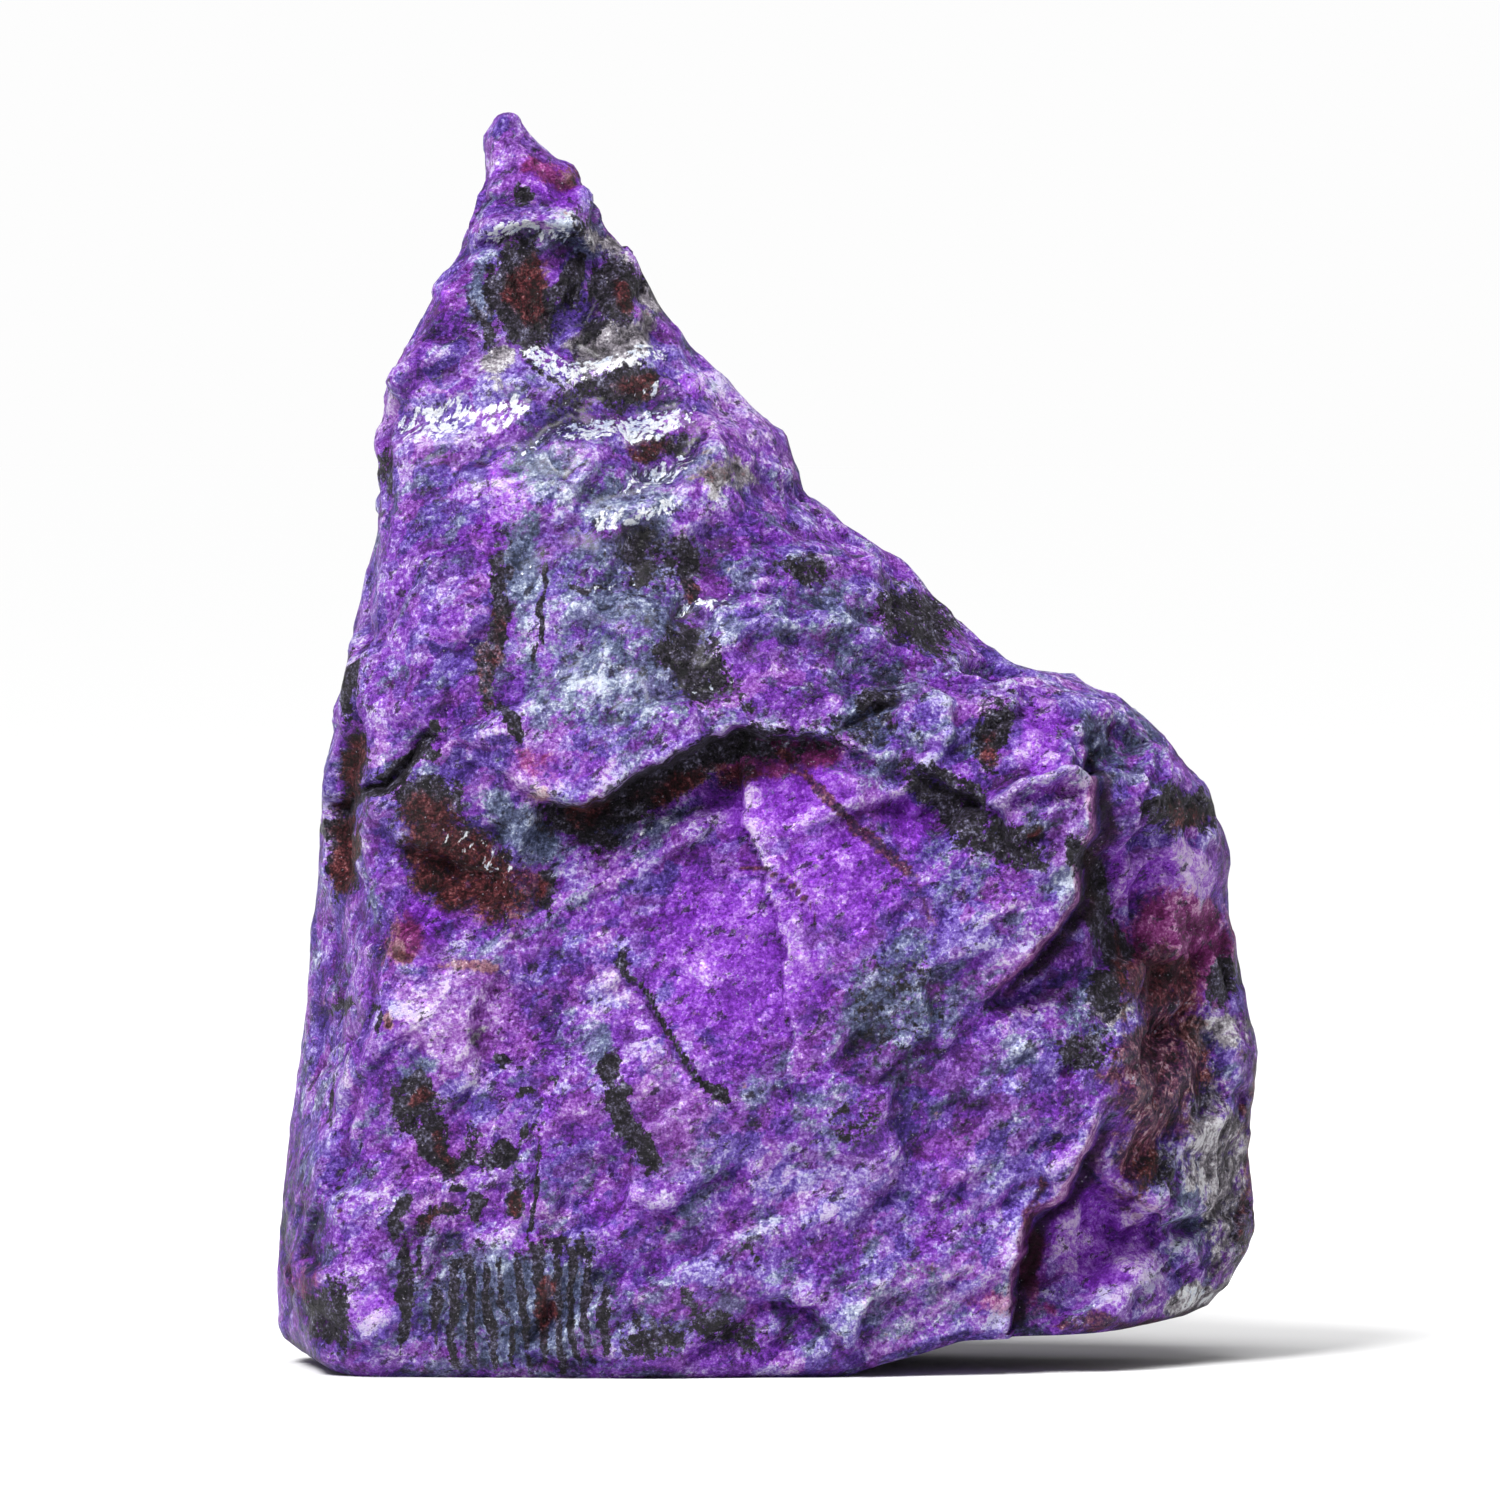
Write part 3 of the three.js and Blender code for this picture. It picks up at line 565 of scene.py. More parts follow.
def oval(x, z, middle_x, middle_z, across, along_it, turn):
    """The distance from an oval's middle, in its own half sizes."""
    angle = math.radians(turn)
    dx, dz = x - middle_x, z - middle_z
    u = (dx * math.cos(angle) + dz * math.sin(angle)) / across
    v = (dz * math.cos(angle) - dx * math.sin(angle)) / along_it
    return np.hypot(u, v)


def swell_relief(swells, x, z):
    """The sum of bell curves, each over its own oval."""
    return sum(height * np.exp(-oval(x, z, *place) ** 2) for *place, height in swells.values())


print(len(FRONT_SWELLS) + len(SMALL_LUMPS), "swells, lumps and pits in front")

# %% [markdown]
# ## Cracks
# Thin cracks cross the face. Painted lines alone would look flat in slanting light, so a crack is a path
# that carries its depth, with a narrow bell across it, and the same path is inked later.

# %% Cracks: half width, then x, height and depth along each
CRACKS = {
    "black crack at the left edge": (0.55, [
        (-36, 43.4, 1.2), (-32.7, 46, 1.6), (-30.4, 47.2, 1.6), (-28.8, 48.7, 1.6), (-27.5, 50.6, 0.6),
    ]),
    "crack that goes on from it": (0.3, [(-27.5, 50.6, 0.6), (-24.2, 50.2, 0.5), (-21.8, 49, 0)]),
    "rim of the domed shell": (0.28, [
        (-7.2, 41, 0), (-4.4, 41.2, 0.35), (-0.4, 40, 0.45), (2.4, 37.5, 0.45), (4, 33.9, 0.3),
        (4.5, 31.4, 0),
    ]),
    "long crack in the lower face": (0.26, [
        (-11.6, 33, 0.2), (-11, 31.4, 0.5), (-8.2, 27.6, 0.6), (-5.8, 24.4, 0.6), (-3, 21.6, 0.3),
    ]),
    "crack through the first shelf": (0.22, [
        (-20.6, 80, 0.3), (-18.4, 79, 0.5), (-16, 78.6, 0.5), (-15.4, 80.6, 0.4), (-13.6, 84, 0.2),
    ]),
    "crack on the lower left": (0.22, [(-18.4, 22, 0.3), (-18.4, 16, 0.4), (-19.2, 11.4, 0.3)]),
    "seam of the left bevel": (0.3, [
        (-30.6, 31, 0.5), (-31.6, 26, 0.6), (-32.4, 21.6, 0.4), (-33, 14, 0.3),
    ]),
}


def crack_relief(x, z):
    """Minus a bell curve across each crack, as deep as its path says."""
    out = np.zeros(x.shape)
    for half_width, path in CRACKS.values():
        away, depth = walk(path, x, z)
        out -= depth * np.exp(-((away / half_width) ** 2))
    return out


print(len(CRACKS), "cracks")

# %% [markdown]
# ## Ribs and fibres
# Near the left foot the ore lies in upright ribs a little over a millimetre apart, and on the right a fan
# of fibres runs up and outwards. Both are low waves in the relief, and the same waves are painted later.


# %% Ribs and fibres
RIBBED_PLACE = (-19.2, 4.6, 8.2, 5.6, 0)
RIB_PITCH = 1.35
RIB_HEIGHT = 0.17
RIB_LEAN = 0.06
FAN_PLACE = (33.2, 20, 5.4, 15, -12)
FAN_ANGLE = math.radians(61)
FAN_FIBRE = 1.1  # how far apart the fibres lie
FAN_STRETCH = 7
FAN_HEIGHT = 0.3


def ribs(x, z):
    """A cosine across the ribs, under a soft oval: 1 on a rib and -1 between two."""
    across = x + RIB_LEAN * z
    return np.cos(2 * math.pi * across / RIB_PITCH) * smooth(1.15, 0.75, oval(x, z, *RIBBED_PLACE))


def fibres(x, z):
    """Rolling noise drawn out along the fan's angle, under a soft oval."""
    u = x * math.cos(FAN_ANGLE) + z * math.sin(FAN_ANGLE)
    v = z * math.cos(FAN_ANGLE) - x * math.sin(FAN_ANGLE)
    drawn = crumpled(np.stack([u / FAN_STRETCH, 0 * u, v], -1), FAN_FIBRE, 89, 2)
    return drawn * smooth(1.2, 0.7, oval(x, z, *FAN_PLACE))


print(round(2 * RIBBED_PLACE[2] / RIB_PITCH), "ribs, and fibres about", FAN_FIBRE, "mm apart")

# %% [markdown]
# ## All the relief together
# The front's relief counts up to the right edge and from the left edge, and the back's on the other
# side, so the two never meet. The front broke along flat cleavage, so it is smoother than the back, but
# rough at the tip, at the shoulder and down the right side.

# %% How rough each place is
ROUGH_PLACES = {
    "right side": (30, 28, 10, 30, 0, 0.25),
    "slope up to the shoulder": (10, 58, 14, 9, -45, 0.35),
    "shoulder": (22, 46, 9, 7, -20, 0.35),
    "tip": (-17, 91, 9, 9, 0, 0.3),
    "domed shell": (-2, 34, 9, 8, 0, -0.25),
    "under the brow": (5, 42, 8, 5, 0, -0.15),
    "left facet": (-29.5, 62, 3.5, 12, 4, -0.2),
}
FRONT_ROUGHNESS = 0.42  # how much of the chips the front's flat cleavage shows
BACK_ROUGHNESS = 0.7


def shares():
    """How much of the front's and of the back's relief each column takes."""
    front = np.where(TURNS > 5, smooth(6.6, 7, TURNS), 1 - smooth(3, 3.4, TURNS))
    back = smooth(3.3, 4, TURNS) * (1 - smooth(6, 6.7, TURNS))
    return front, back


FRONT_SHARE, BACK_SHARE = shares()


def roughness_here(x, z):
    """The back's level, and on the front its own level plus a bell over each rough or smooth place."""
    places = sum(more * np.exp(-oval(x, z, *place) ** 2) for *place, more in ROUGH_PLACES.values())
    return BACK_ROUGHNESS + FRONT_SHARE * (FRONT_ROUGHNESS + places - BACK_ROUGHNESS)


print((FRONT_SHARE > 0.5).sum(), "columns take the front's relief,", (BACK_SHARE > 0.5).sum(), "the back's")

# %% Relief of the front and of the back
BEND = 0.55  # how far noise bends the view that the ledges are drawn in
BEND_CELL = 3.4
BENT_X = PLAIN[..., 0] + BEND * crumpled(PLAIN, BEND_CELL, 71, 3)
BENT_Z = PLAIN[..., 2] + BEND * crumpled(PLAIN, BEND_CELL, 83, 3)


def front_relief(x, z):
    """The sum of the ledges, shelves, swells, lumps, cracks, ribs and fibres of the front."""
    out = ledge_relief(FRONT_LEDGES, BENT_X, BENT_Z, WALL_SHARE) + swell_relief(FRONT_SWELLS, x, z)
    out += ledge_relief(SHELVES, BENT_X, BENT_Z, SHELF_SHARE)
    out += swell_relief(SMALL_LUMPS, BENT_X, BENT_Z)
    out += crack_relief(BENT_X, BENT_Z)
    return out + RIB_HEIGHT * ribs(BENT_X, BENT_Z) + FAN_HEIGHT * fibres(BENT_X, BENT_Z)


def back_relief(x, z):
    """The sum of the ledges and swells of the back."""
    return ledge_relief(BACK_LEDGES, BENT_X, BENT_Z, WALL_SHARE) + swell_relief(BACK_SWELLS, x, z)


print("noise bends the view by up to", round(float(np.abs(BENT_X - PLAIN[..., 0]).max()), 2), "mm")

# %% [markdown]
# ## Chips, facets and crumple
# Between the ledges the break is chipped at every size, down to the grain. A Displace modifier could do
# it with one noise, but real breaks mix round chips with flat splits. Bowls, facets and crumple of
# several sizes are added here, and the facets are drawn out along the rock's fabric.

# %% Chips, facets and crumple
CHIPS = [(15, 1.6, 5), (6.5, 0.7, 17), (2.7, 0.35, 29), (1.25, 0.15, 41)]  # cell, height and salt
# Cell, salt and crispness of each kind of break, and how high it stands.
BREAKS = [((12, 141, 45), 2.4), ((5.5, 151, 24), 1.4), ((2.6, 161, 14), 0.75), ((1.5, 171, 10), 0.42)]
CRUMPLE = [(4.2, 0.32, 53), (1.3, 0.14, 61)]
FABRIC_TURN = math.radians(32)  # the broken grain runs up to the right
FABRIC_STRETCH = 1.7


def along_the_fabric(x, y, z):
    """Places turned to the rock's fabric and shrunk along it, so that what is built on them is drawn out."""
    u = x * math.cos(FABRIC_TURN) + z * math.sin(FABRIC_TURN)
    v = z * math.cos(FABRIC_TURN) - x * math.sin(FABRIC_TURN)
    return np.stack([u / FABRIC_STRETCH, y, v], -1)


FABRIC = along_the_fabric(BENT_X, PLAIN[..., 1], BENT_Z)


def broken(chips, breaks):
    """Bowls and tilted facets of the given sizes, added up."""
    out = sum(height * bowls(PLAIN, cell, salt) for cell, height, salt in chips)
    return out + sum(height * facets(FABRIC, *shape) for shape, height in breaks)


COARSE = broken(CHIPS[:2], BREAKS[:2])
CRUMPLED = sum(height * crumpled(PLAIN, cell, salt, 3) for cell, height, salt in CRUMPLE)
FINE_CHIPS = broken(CHIPS[2:], BREAKS[2:]) + CRUMPLED
print("large chips swing by", COARSE.std().round(2), "mm and fine ones by", FINE_CHIPS.std().round(2), "mm")

# %% [markdown]
# ## Put the relief on
# The front's and the back's relief moves points to and fro, and the chips move them along the surface's
# own direction. Near the outline's edges chips hardly move a point sideways, so that the outline stays as
# it was placed. Both fade out at the thin tip and at the level foot.

# %% Put the relief on
EDGE_HOLD = 0.45  # how far round from the outline's edges chips are held back
COARSE_AT_EDGE = 0.12  # the share of a large chip that is left there
FINE_AT_EDGE = 0.35
TIP_FADE = 10  # the height below the tip over which relief grows to its full size
CHIPS_AT_TIP = 0.25
RELIEF_AT_TIP = 0.15
FOOT_FADE = 3  # the height above the foot over which chips do so
CHIPS_AT_FOOT = 0.3


def share_from(least, value):
    """From the least share at 0 to the whole at 1."""
    return least + (1 - least) * value


def shaped():
    """Plain points, plus relief along y, plus chips along the normal, plus the lift of the foot."""
    x, _, z = np.moveaxis(PLAIN, -1, 0)
    relief = BACK_SHARE * back_relief(x, z) - FRONT_SHARE * front_relief(x, z)
    tip = smooth(0, TIP_FADE, HEIGHT - z)
    foot = smooth(0, FOOT_FADE, z)
    away = smooth(0, EDGE_HOLD, np.minimum(np.abs(TURNS - RIGHT_EDGE_AT), np.abs(TURNS - LEFT_EDGE_AT)))
    rough = roughness_here(x, z) * share_from(CHIPS_AT_TIP, tip)
    chip = rough * (COARSE + FINE_CHIPS)
    held = COARSE * share_from(COARSE_AT_EDGE, away) + FINE_CHIPS * share_from(FINE_AT_EDGE, away)
    level = share_from(CHIPS_AT_FOOT, foot)
    out = PLAIN.copy()
    out[..., 0] += rough * held * NORMALS[..., 0] * level
    out[..., 1] += chip * NORMALS[..., 1] * level + relief * share_from(RELIEF_AT_TIP, tip)
    out[..., 2] += rough * held * NORMALS[..., 2] * foot
    out[..., 2] += along(FOOT_LIFT, x) * np.maximum(0, 1 - z / FOOT_BLEND)
    return out


SURFACE = shaped()
SURFACE[..., 2] = np.clip(SURFACE[..., 2], 0, HEIGHT)
print("the finished surface is", np.ptp(SURFACE.reshape(-1, 3), 0).round(1), "mm")

# %% [markdown]
# ## The mesh
# The grid is closed round the section, by rings that shrink to the middle of the foot, and by a rounded
# knob at the tip. One big face under the foot would shade badly, and the rings keep the faces small. The
# faces all turn the same way, so they point outwards.

# %% The mesh
FOOT_RINGS = [0.12, 0.3, 0.5, 0.68, 0.82, 0.92, 0.97]
FOOT_MIDDLE = np.array([-3.0, 0, 0])
TIP_RINGS = [(0.88, 0.4), (0.66, 0.74), (0.34, 0.94)]  # size, and share of the way up to the top


def closed_points():
    """Foot rings from the middle outwards, the grid, the rings of the knob, and two closing points."""
    foot = [FOOT_MIDDLE + size * (SURFACE[0] - FOOT_MIDDLE) for size in FOOT_RINGS]
    for ring in foot:
        ring[:, 2] = along(FOOT_LIFT, ring[:, 0])
    top = SURFACE[-1].mean(0)
    top[2] = HEIGHT
    knob = []
    for size, climb in TIP_RINGS:
        ring = top + size * (SURFACE[-1] - top)
        ring[:, 2] = SURFACE[-1, :, 2] + climb * (HEIGHT - SURFACE[-1, :, 2])
        knob.append(ring)
    return np.concatenate([np.stack(foot), SURFACE, np.stack(knob)]), np.array([FOOT_MIDDLE, top])


def closed_faces(rows, columns):
    """Quads between neighbouring rows, and triangles from the two closing points to the end rows."""
    row, column = np.meshgrid(np.arange(rows - 1), np.arange(columns), indexing="ij")
    a = (row * columns + column).ravel()
    b = (row * columns + (column + 1) % columns).ravel()
    quads = np.stack([a, b, b + columns, a + columns], 1)
    c = np.arange(columns)
    following = (c + 1) % columns
    foot, tip = rows * columns, rows * columns + 1
    last = (rows - 1) * columns
    fans = np.concatenate(
        [
            np.stack([np.full(columns, foot), following, c], 1),
            np.stack([last + c, last + following, np.full(columns, tip)], 1),
        ]
    )
    return quads.tolist() + fans.tolist()


def stone_mesh():
    """One smooth-shaded mesh of the closed points, in metres, with its place in the points themselves."""
    loops, ends = closed_points()
    rows, columns = loops.shape[:2]
    points = np.concatenate([loops.reshape(-1, 3), ends]) * MM
    mesh = bpy.data.meshes.new("sugilite_lump")
    mesh.from_pydata(points.tolist(), [], closed_faces(rows, columns))
    mesh.polygons.foreach_set("use_smooth", np.ones(len(mesh.polygons), bool))
    mesh.update()
    stone = bpy.data.objects.new("sugilite_lump", mesh)
    bpy.context.scene.collection.objects.link(stone)
    return stone


STONE = stone_mesh()
print("the mesh has", sum(len(p.vertices) - 2 for p in STONE.data.polygons), "triangles")

# %% [markdown]
# ## Where the colours lie
# The black ore, the rust, the pale and the rosy violet are stains in one rock, so they are painted and
# not raised. They could be brushed on as an image, but nobody could read or correct that in a script.
# Here each is a soft spot placed in the front view: its middle, half sizes, turn and strength.
# Thin marks, such as a seam of ore or the painted highlight on a shelf's lip, are strokes along a path.
# Most are finishes of their own. "lilac" and "deep" only make the grain paler or darker, "bare" keeps the
# ore away, "fan" is where fibres show, and "crinkle" is where the surface is wavy and glossy.

# %% Spots of black ore: x, height, half width, half height, turn anticlockwise and strength
SPOTS = {
    "ink": {
        "core under the tip": (-19.4, 85.6, 2.8, 4.6, 5, 1.15),
        "beside that core": (-15.2, 86.8, 1.9, 2.8, 0, 1.1),
        "right of it": (-11.8, 86.2, 2.3, 2.8, -20, 1),
        "strip over the ash lump": (-14.2, 82.8, 1.8, 0.8, 35, 0.85),
        "line by the blue facet": (-22.8, 83.4, 0.6, 2.7, 18, 0.8),
        "streak band, upper": (-11.5, 78.2, 3.2, 2.1, 10, 0.85),
        "streak band, lower": (-7.8, 73.3, 2.7, 1.3, 12, 0.7),
        "streaks between the shelves": (-15, 76.9, 3.8, 1.1, 8, 0.5),
        "speckled patch": (-8.1, 64.4, 4.6, 3.5, 0, 0.58),
        "streak on its left": (-9.8, 64.6, 0.7, 3.2, -4, 0.9),
        "streak on its right": (-6.2, 63.8, 0.9, 3.4, 0, 0.95),
        "bar in the upper part": (-14.8, 62.6, 1.8, 0.4, 0, 0.8),
        "long strip, top": (-21.2, 62.8, 0.9, 3.8, -6, 0.75),
        "long strip, foot": (-22, 56.5, 1, 5.6, -4, 0.88),
        "long strip, hook": (-20.5, 51.1, 0.7, 2.1, 24, 0.88),
        "thin line": (-17.8, 61.1, 0.32, 4.5, -3, 0.95),
        "wedge above the brow": (-5.7, 56.2, 2.5, 3.9, 25, 0.84),
        "wedge's foot": (-2.4, 52.9, 2.4, 1.1, -20, 0.5),
        "patch by the right edge": (3.4, 63.9, 2.1, 1.6, 0, 0.72),
        "shoulder patch": (12.5, 59.4, 4.3, 2.7, -35, 0.75),
        "patch over the lip": (8.8, 52.6, 2.2, 1.2, 20, 0.72),
        "dark diagonal": (14.6, 45, 5.9, 2.1, -45, 0.76),
        "dark diagonal's foot": (19.2, 41.5, 3.6, 2.4, -20, 0.72),
        "lens": (21.3, 42.6, 1.5, 0.7, 18, 1),
        "brown-cored patch": (18.1, 50.5, 1.6, 3.7, -5, 0.9),
        "right boss": (33.3, 44.3, 3.6, 1.9, 0, 0.95),
        # The valley strips beside the right side scarp: black ore with painted shade of the scarp in it.
        "valley strip": (26.4, 38.2, 1.1, 3.9, 12, 0.98),
        "second valley strip": (28.2, 33, 1, 3.6, 20, 0.98),
        "foot of the valley": (27.2, 29.6, 1.2, 2.4, 0, 0.85),
        "notch in the scarp": (24.9, 40.9, 0.9, 1.4, 0, 1),
        "patch by the right hollow": (36.2, 31, 1.6, 1.9, 0, 0.9),
        "speckled ring": (25.8, 24.9, 2.7, 2.6, 0, 0.66),
        "right fan": (31.4, 15.6, 2, 2.6, -30, 0.62),
        "by the fan's fibres": (35.2, 22.3, 1.3, 3, 0, 0.6),
        "right foot edge": (38.3, 10.5, 0.9, 4.6, 0, 0.6),
        "dim middle": (10.6, 28.1, 5, 5.8, 0, 0.38),
        "dim middle, lower": (7.6, 19.3, 3.2, 2.4, 20, 0.46),
        "bar's knob": (-12.5, 23.9, 1.3, 1.5, 0, 1),
        "bar": (-11.1, 19.5, 1.3, 4.4, 24, 1.1),
        "spot over the crack": (-11.5, 31.9, 0.6, 1, 0, 0.9),
        "crack's end": (-3.5, 21.5, 1.2, 0.7, -35, 0.95),
        "dot by the crack": (2, 27.1, 0.32, 0.3, 0, 0.9),
        "ringed patch": (-28.2, 21.2, 2.4, 2.4, 0, 1),
        "its tail": (-26.2, 17.3, 1.3, 3.2, 22, 1.05),
        "bar beside it": (-23.6, 16.9, 0.6, 2.2, -14, 0.76),
        "short bar": (-19.3, 18.8, 0.5, 1.1, 0, 0.85),
        "fleck": (-19, 21.7, 1, 0.4, 0, 0.85),
        "dot": (-21.1, 24.4, 0.7, 0.9, 0, 0.78),
        "dot beside it": (-19.8, 23.6, 1, 0.4, -10, 0.7),
        "small dot": (-16.8, 23.1, 0.6, 0.5, 0, 0.75),
        "arch": (-21.2, 16.4, 2.1, 1, 10, 0.82),
        "arch's leg": (-20, 14.5, 0.9, 1, 0, 0.75),
        "left tooth": (-23.1, 12.4, 0.6, 1.4, 0, 1),
        "right tooth": (-20.1, 12.9, 0.9, 1.3, 0, 1),
        "slug": (-29.4, 11.8, 0.7, 2.2, -20, 1),
        "strap": (-26.2, 11.6, 2.6, 0.6, 25, 0.8),
        "strap down": (-29, 5.5, 0.7, 4.6, -1, 0.95),
        "thin strap": (-27.6, 8.2, 0.32, 1.4, -8, 0.8),
        "ribbed patch, left": (-23.8, 5, 3.5, 5.3, 0, 0.58),
        "ribbed patch, right": (-16, 4.9, 4.8, 5.2, 0, 0.62),
        "ribbed patch, top": (-16.4, 9.4, 4, 1, -4, 0.72),
        "ribbed patch, end": (-8.8, 2.3, 2.9, 2.1, 0, 0.68),
        "streaks by the foot": (-3.2, 2.8, 3.7, 1.8, -24, 0.66),
        "streak": (-6, 5.7, 1.6, 0.5, -50, 0.8),
        "small streak": (-0.8, 8.5, 0.4, 1.3, 30, 0.8),
        "foot, left": (-34.7, 4.1, 2, 3.4, 0, 0.78),
        "side strip, upper": (-33.2, 54.5, 0.7, 3.4, -10, 0.9),
        "side strip, lower": (-33, 47.7, 1.4, 3.4, -8, 0.9),
        "side strip, foot": (-33.8, 40.9, 1.5, 3.7, -8, 0.9),
        "black crack, upper": (-29.4, 47.9, 2.4, 0.7, 30, 0.95),
        "black crack, end": (-27.2, 49.3, 1, 0.6, 20, 0.9),
        "hollow": (-24, 40, 6.8, 4, -35, 0.72),
        "hollow, upper left": (-27.2, 44.8, 2.6, 3.2, -25, 0.85),
        "right of the hollow": (-17.6, 37.6, 0.9, 2.4, 0, 0.7),
        "left dark": (-34, 28.5, 1.3, 0.7, 0, 0.78),
        "left line": (-31.2, 27.8, 0.32, 1.4, 0, 0.8),
        "left bevel dash": (-33.3, 14.8, 0.24, 1, -14, 0.9),
        "edge dots": (-30.2, 71.3, 0.5, 2.9, 4, 0.6),
        # Under the brow: dark ore with painted shade under its overhang.
        "under the brow": (-10, 45.5, 5, 1.6, 22, 0.62),
        "under the brow, end": (-13.6, 42.5, 1.8, 1.8, 0, 0.6),
        "top dark": (-19.6, 93.2, 1, 1.1, 0, 0.8),
        "top teal": (-15, 91.9, 1.4, 1.6, 0, 0.5),
    },
}
print(len(SPOTS["ink"]), "spots of black ore")

# %% Spots of rust
SPOTS |= {
    "rust": {
        "under the tip": (-18.9, 86.1, 1.7, 2.7, 0, 1.1),
        "its bright core": (-18.4, 85.7, 0.6, 1, 0, 1),
        "right of the scoop": (-11.3, 85.3, 1.2, 1.7, 20, 0.8),
        "streak band": (-10.4, 77.7, 2.4, 1.3, 10, 0.7),
        "streak core": (-9.1, 73.2, 1.9, 1.1, 0, 1),
        "brown in the grey": (-4, 71.6, 2.9, 2.1, 0, 0.45),
        "speckle core": (-6, 61.7, 1.3, 1.6, 0, 0.6),
        "strip": (-22, 57.3, 1.1, 5.6, -4, 0.5),
        "hollow": (-24, 39.6, 5.8, 3.5, -35, 0.95),
        "hollow's right": (-19.2, 38, 1.6, 2.2, 0, 0.9),
        "hollow, upper left": (-27, 43.4, 2.8, 2.6, -25, 0.9),
        "foot of the left facet": (-29.3, 33, 1.4, 0.8, -30, 0.7),
        "side strip": (-33.1, 47.4, 1.4, 3.2, -8, 0.8),
        "side strip, foot": (-33.8, 40.7, 1.4, 3.5, -8, 0.85),
        "right hollow": (31.6, 30.6, 3, 3.6, 20, 0.85),
        "right fan": (31.6, 23.4, 3.9, 6.2, -25, 1),
        "right fan, foot": (29.6, 16.4, 1.9, 3.4, -10, 0.95),
        "right edge": (38.6, 17.5, 0.9, 8.6, 0, 0.7),
        "lens": (21.4, 42.6, 1, 0.4, 18, 1),
        "ringed patch": (-27.8, 21.3, 1, 0.9, 0, 0.9),
        "tail": (-25.6, 17, 0.6, 1.9, 15, 0.6),
        "right tooth": (-20.1, 12.9, 0.6, 1, 0, 0.8),
        "strap": (-26.2, 11.6, 2.2, 0.5, 25, 0.6),
        "rib spot": (-17.5, 4.7, 0.7, 2.7, 0, 0.9),
        "rib spot, left": (-22, 7.3, 1.3, 2.4, 0, 0.35),
        # Under the brow: rust with painted shade under its overhang.
        "under the brow": (-5.6, 46.6, 7.4, 1.3, 14, 0.6),
        "under the brow, left": (-14, 44.4, 2.1, 2.1, 0, 0.6),
        "foot edge": (28.4, 3.4, 7.2, 0.6, 2, 0.7),
        "scarp's foot": (21.6, 12.5, 0.6, 4, -20, 0.7),
        "left speck": (-29.9, 27.4, 0.4, 0.6, 0, 1),
        "left speck, lower": (-34.3, 12.5, 0.32, 0.4, 0, 1),
        "brown-cored patch": (18.1, 49.7, 1, 2.4, 0, 0.6),
        "right boss": (33.2, 43.7, 2.4, 1.3, 0, 0.5),
        "top rose": (-15.2, 95.1, 2.4, 0.8, -25, 0.5),
        "face spot": (-8, 26.6, 0.5, 1.3, -20, 0.5),
        "left corner": (-37.9, 4.9, 1, 2.4, 0, 0.4),
    },
}
print(len(SPOTS["rust"]), "spots of rust")

# %% Grey spots
SPOTS |= {
    "slate": {
        "blue facet": (-22.7, 85.5, 1, 3.4, 0, 0.85),
        "ledge end": (-18, 71.6, 2.6, 1.4, 0, 0.8),
        "pale strip": (-19.6, 64.4, 1.4, 4.5, 0, 0.95),
        "pale strip, foot": (-18.4, 56.1, 1, 3.5, 0, 0.6),
        "teal by the tip": (-15, 90.9, 2.7, 1.8, 0, 0.7),
        "rim of the hollow": (-19.4, 43, 4.2, 1.7, -35, 0.95),
        "above the brow": (-14.8, 53.7, 4.8, 3.2, 0, 0.5),
        "grey lip": (7.7, 51.1, 3.7, 1.8, 10, 0.65),
        "right top": (28.4, 49.8, 3.5, 3.2, 0, 0.5),
        "speckle": (26.4, 28.1, 3.2, 2.1, 0, 0.55),
        "right edge": (34.9, 12.4, 3.4, 4.6, 10, 0.6),
        "dim middle": (10.6, 28.1, 4.8, 5.6, 0, 0.55),
        "ribbed patch": (-19.4, 4.8, 8.4, 5.6, 0, 0.75),
        "upper face": (-11, 59, 6.5, 9, 0, 0.6),
        "upper face, higher": (-11, 68.5, 6, 5, 0, 0.45),
        "slope to the shoulder": (6, 59, 9, 4, -42, 0.4),
        "ring's rim": (-28.3, 23.6, 2.2, 1, 0, 0.75),
        "above the brow, right": (-10, 52.5, 4.5, 2.2, 0, 0.6),
        "under the lip": (6.8, 48.1, 4.8, 1.6, -20, 0.4),
        "left face": (-37.2, 10.5, 2.4, 4.8, 0, 0.25),
        "bar's top": (-13.1, 25.7, 1.1, 1.3, 0, 0.6),
        "brow's underside": (-10, 43.3, 4.8, 1.1, 20, 0.4),
        "middle right": (15.6, 40.1, 3.2, 2.4, -40, 0.4),
        "foot right": (10.8, 4.9, 7.2, 3.2, 0, 0.3),
    },
    "ash": {
        "lump": (-12.3, 82, 3.5, 2.2, 22, 0.95),
        "left of it": (-21.4, 79.9, 1.4, 1.3, 0, 0.7),
        "by the right edge": (-3.2, 71.3, 2.7, 2.2, -20, 0.6),
        "lip by the tip": (-12.8, 89.7, 3.5, 1, -38, 0.65),
        "edge": (-9.4, 85.5, 0.8, 2.1, 38, 0.7),
        "right white": (35.7, 26.6, 3.4, 1.9, 0, 0.75),
        "pale corner": (34.7, 5.5, 3, 1.5, 12, 1),
        "ring": (27.7, 28.2, 2.1, 1.1, 0, 0.6),
        "right fibres": (36.4, 15, 2.4, 8, 4, 0.7),
        "left dot": (-14, 28.5, 0.8, 0.6, 0, 0.5),
        "grey dot": (-22.8, 27.3, 1.1, 1.4, 0, 0.4),
    },
}
print(len(SPOTS["slate"]), "spots of slate and", len(SPOTS["ash"]), "of ash")

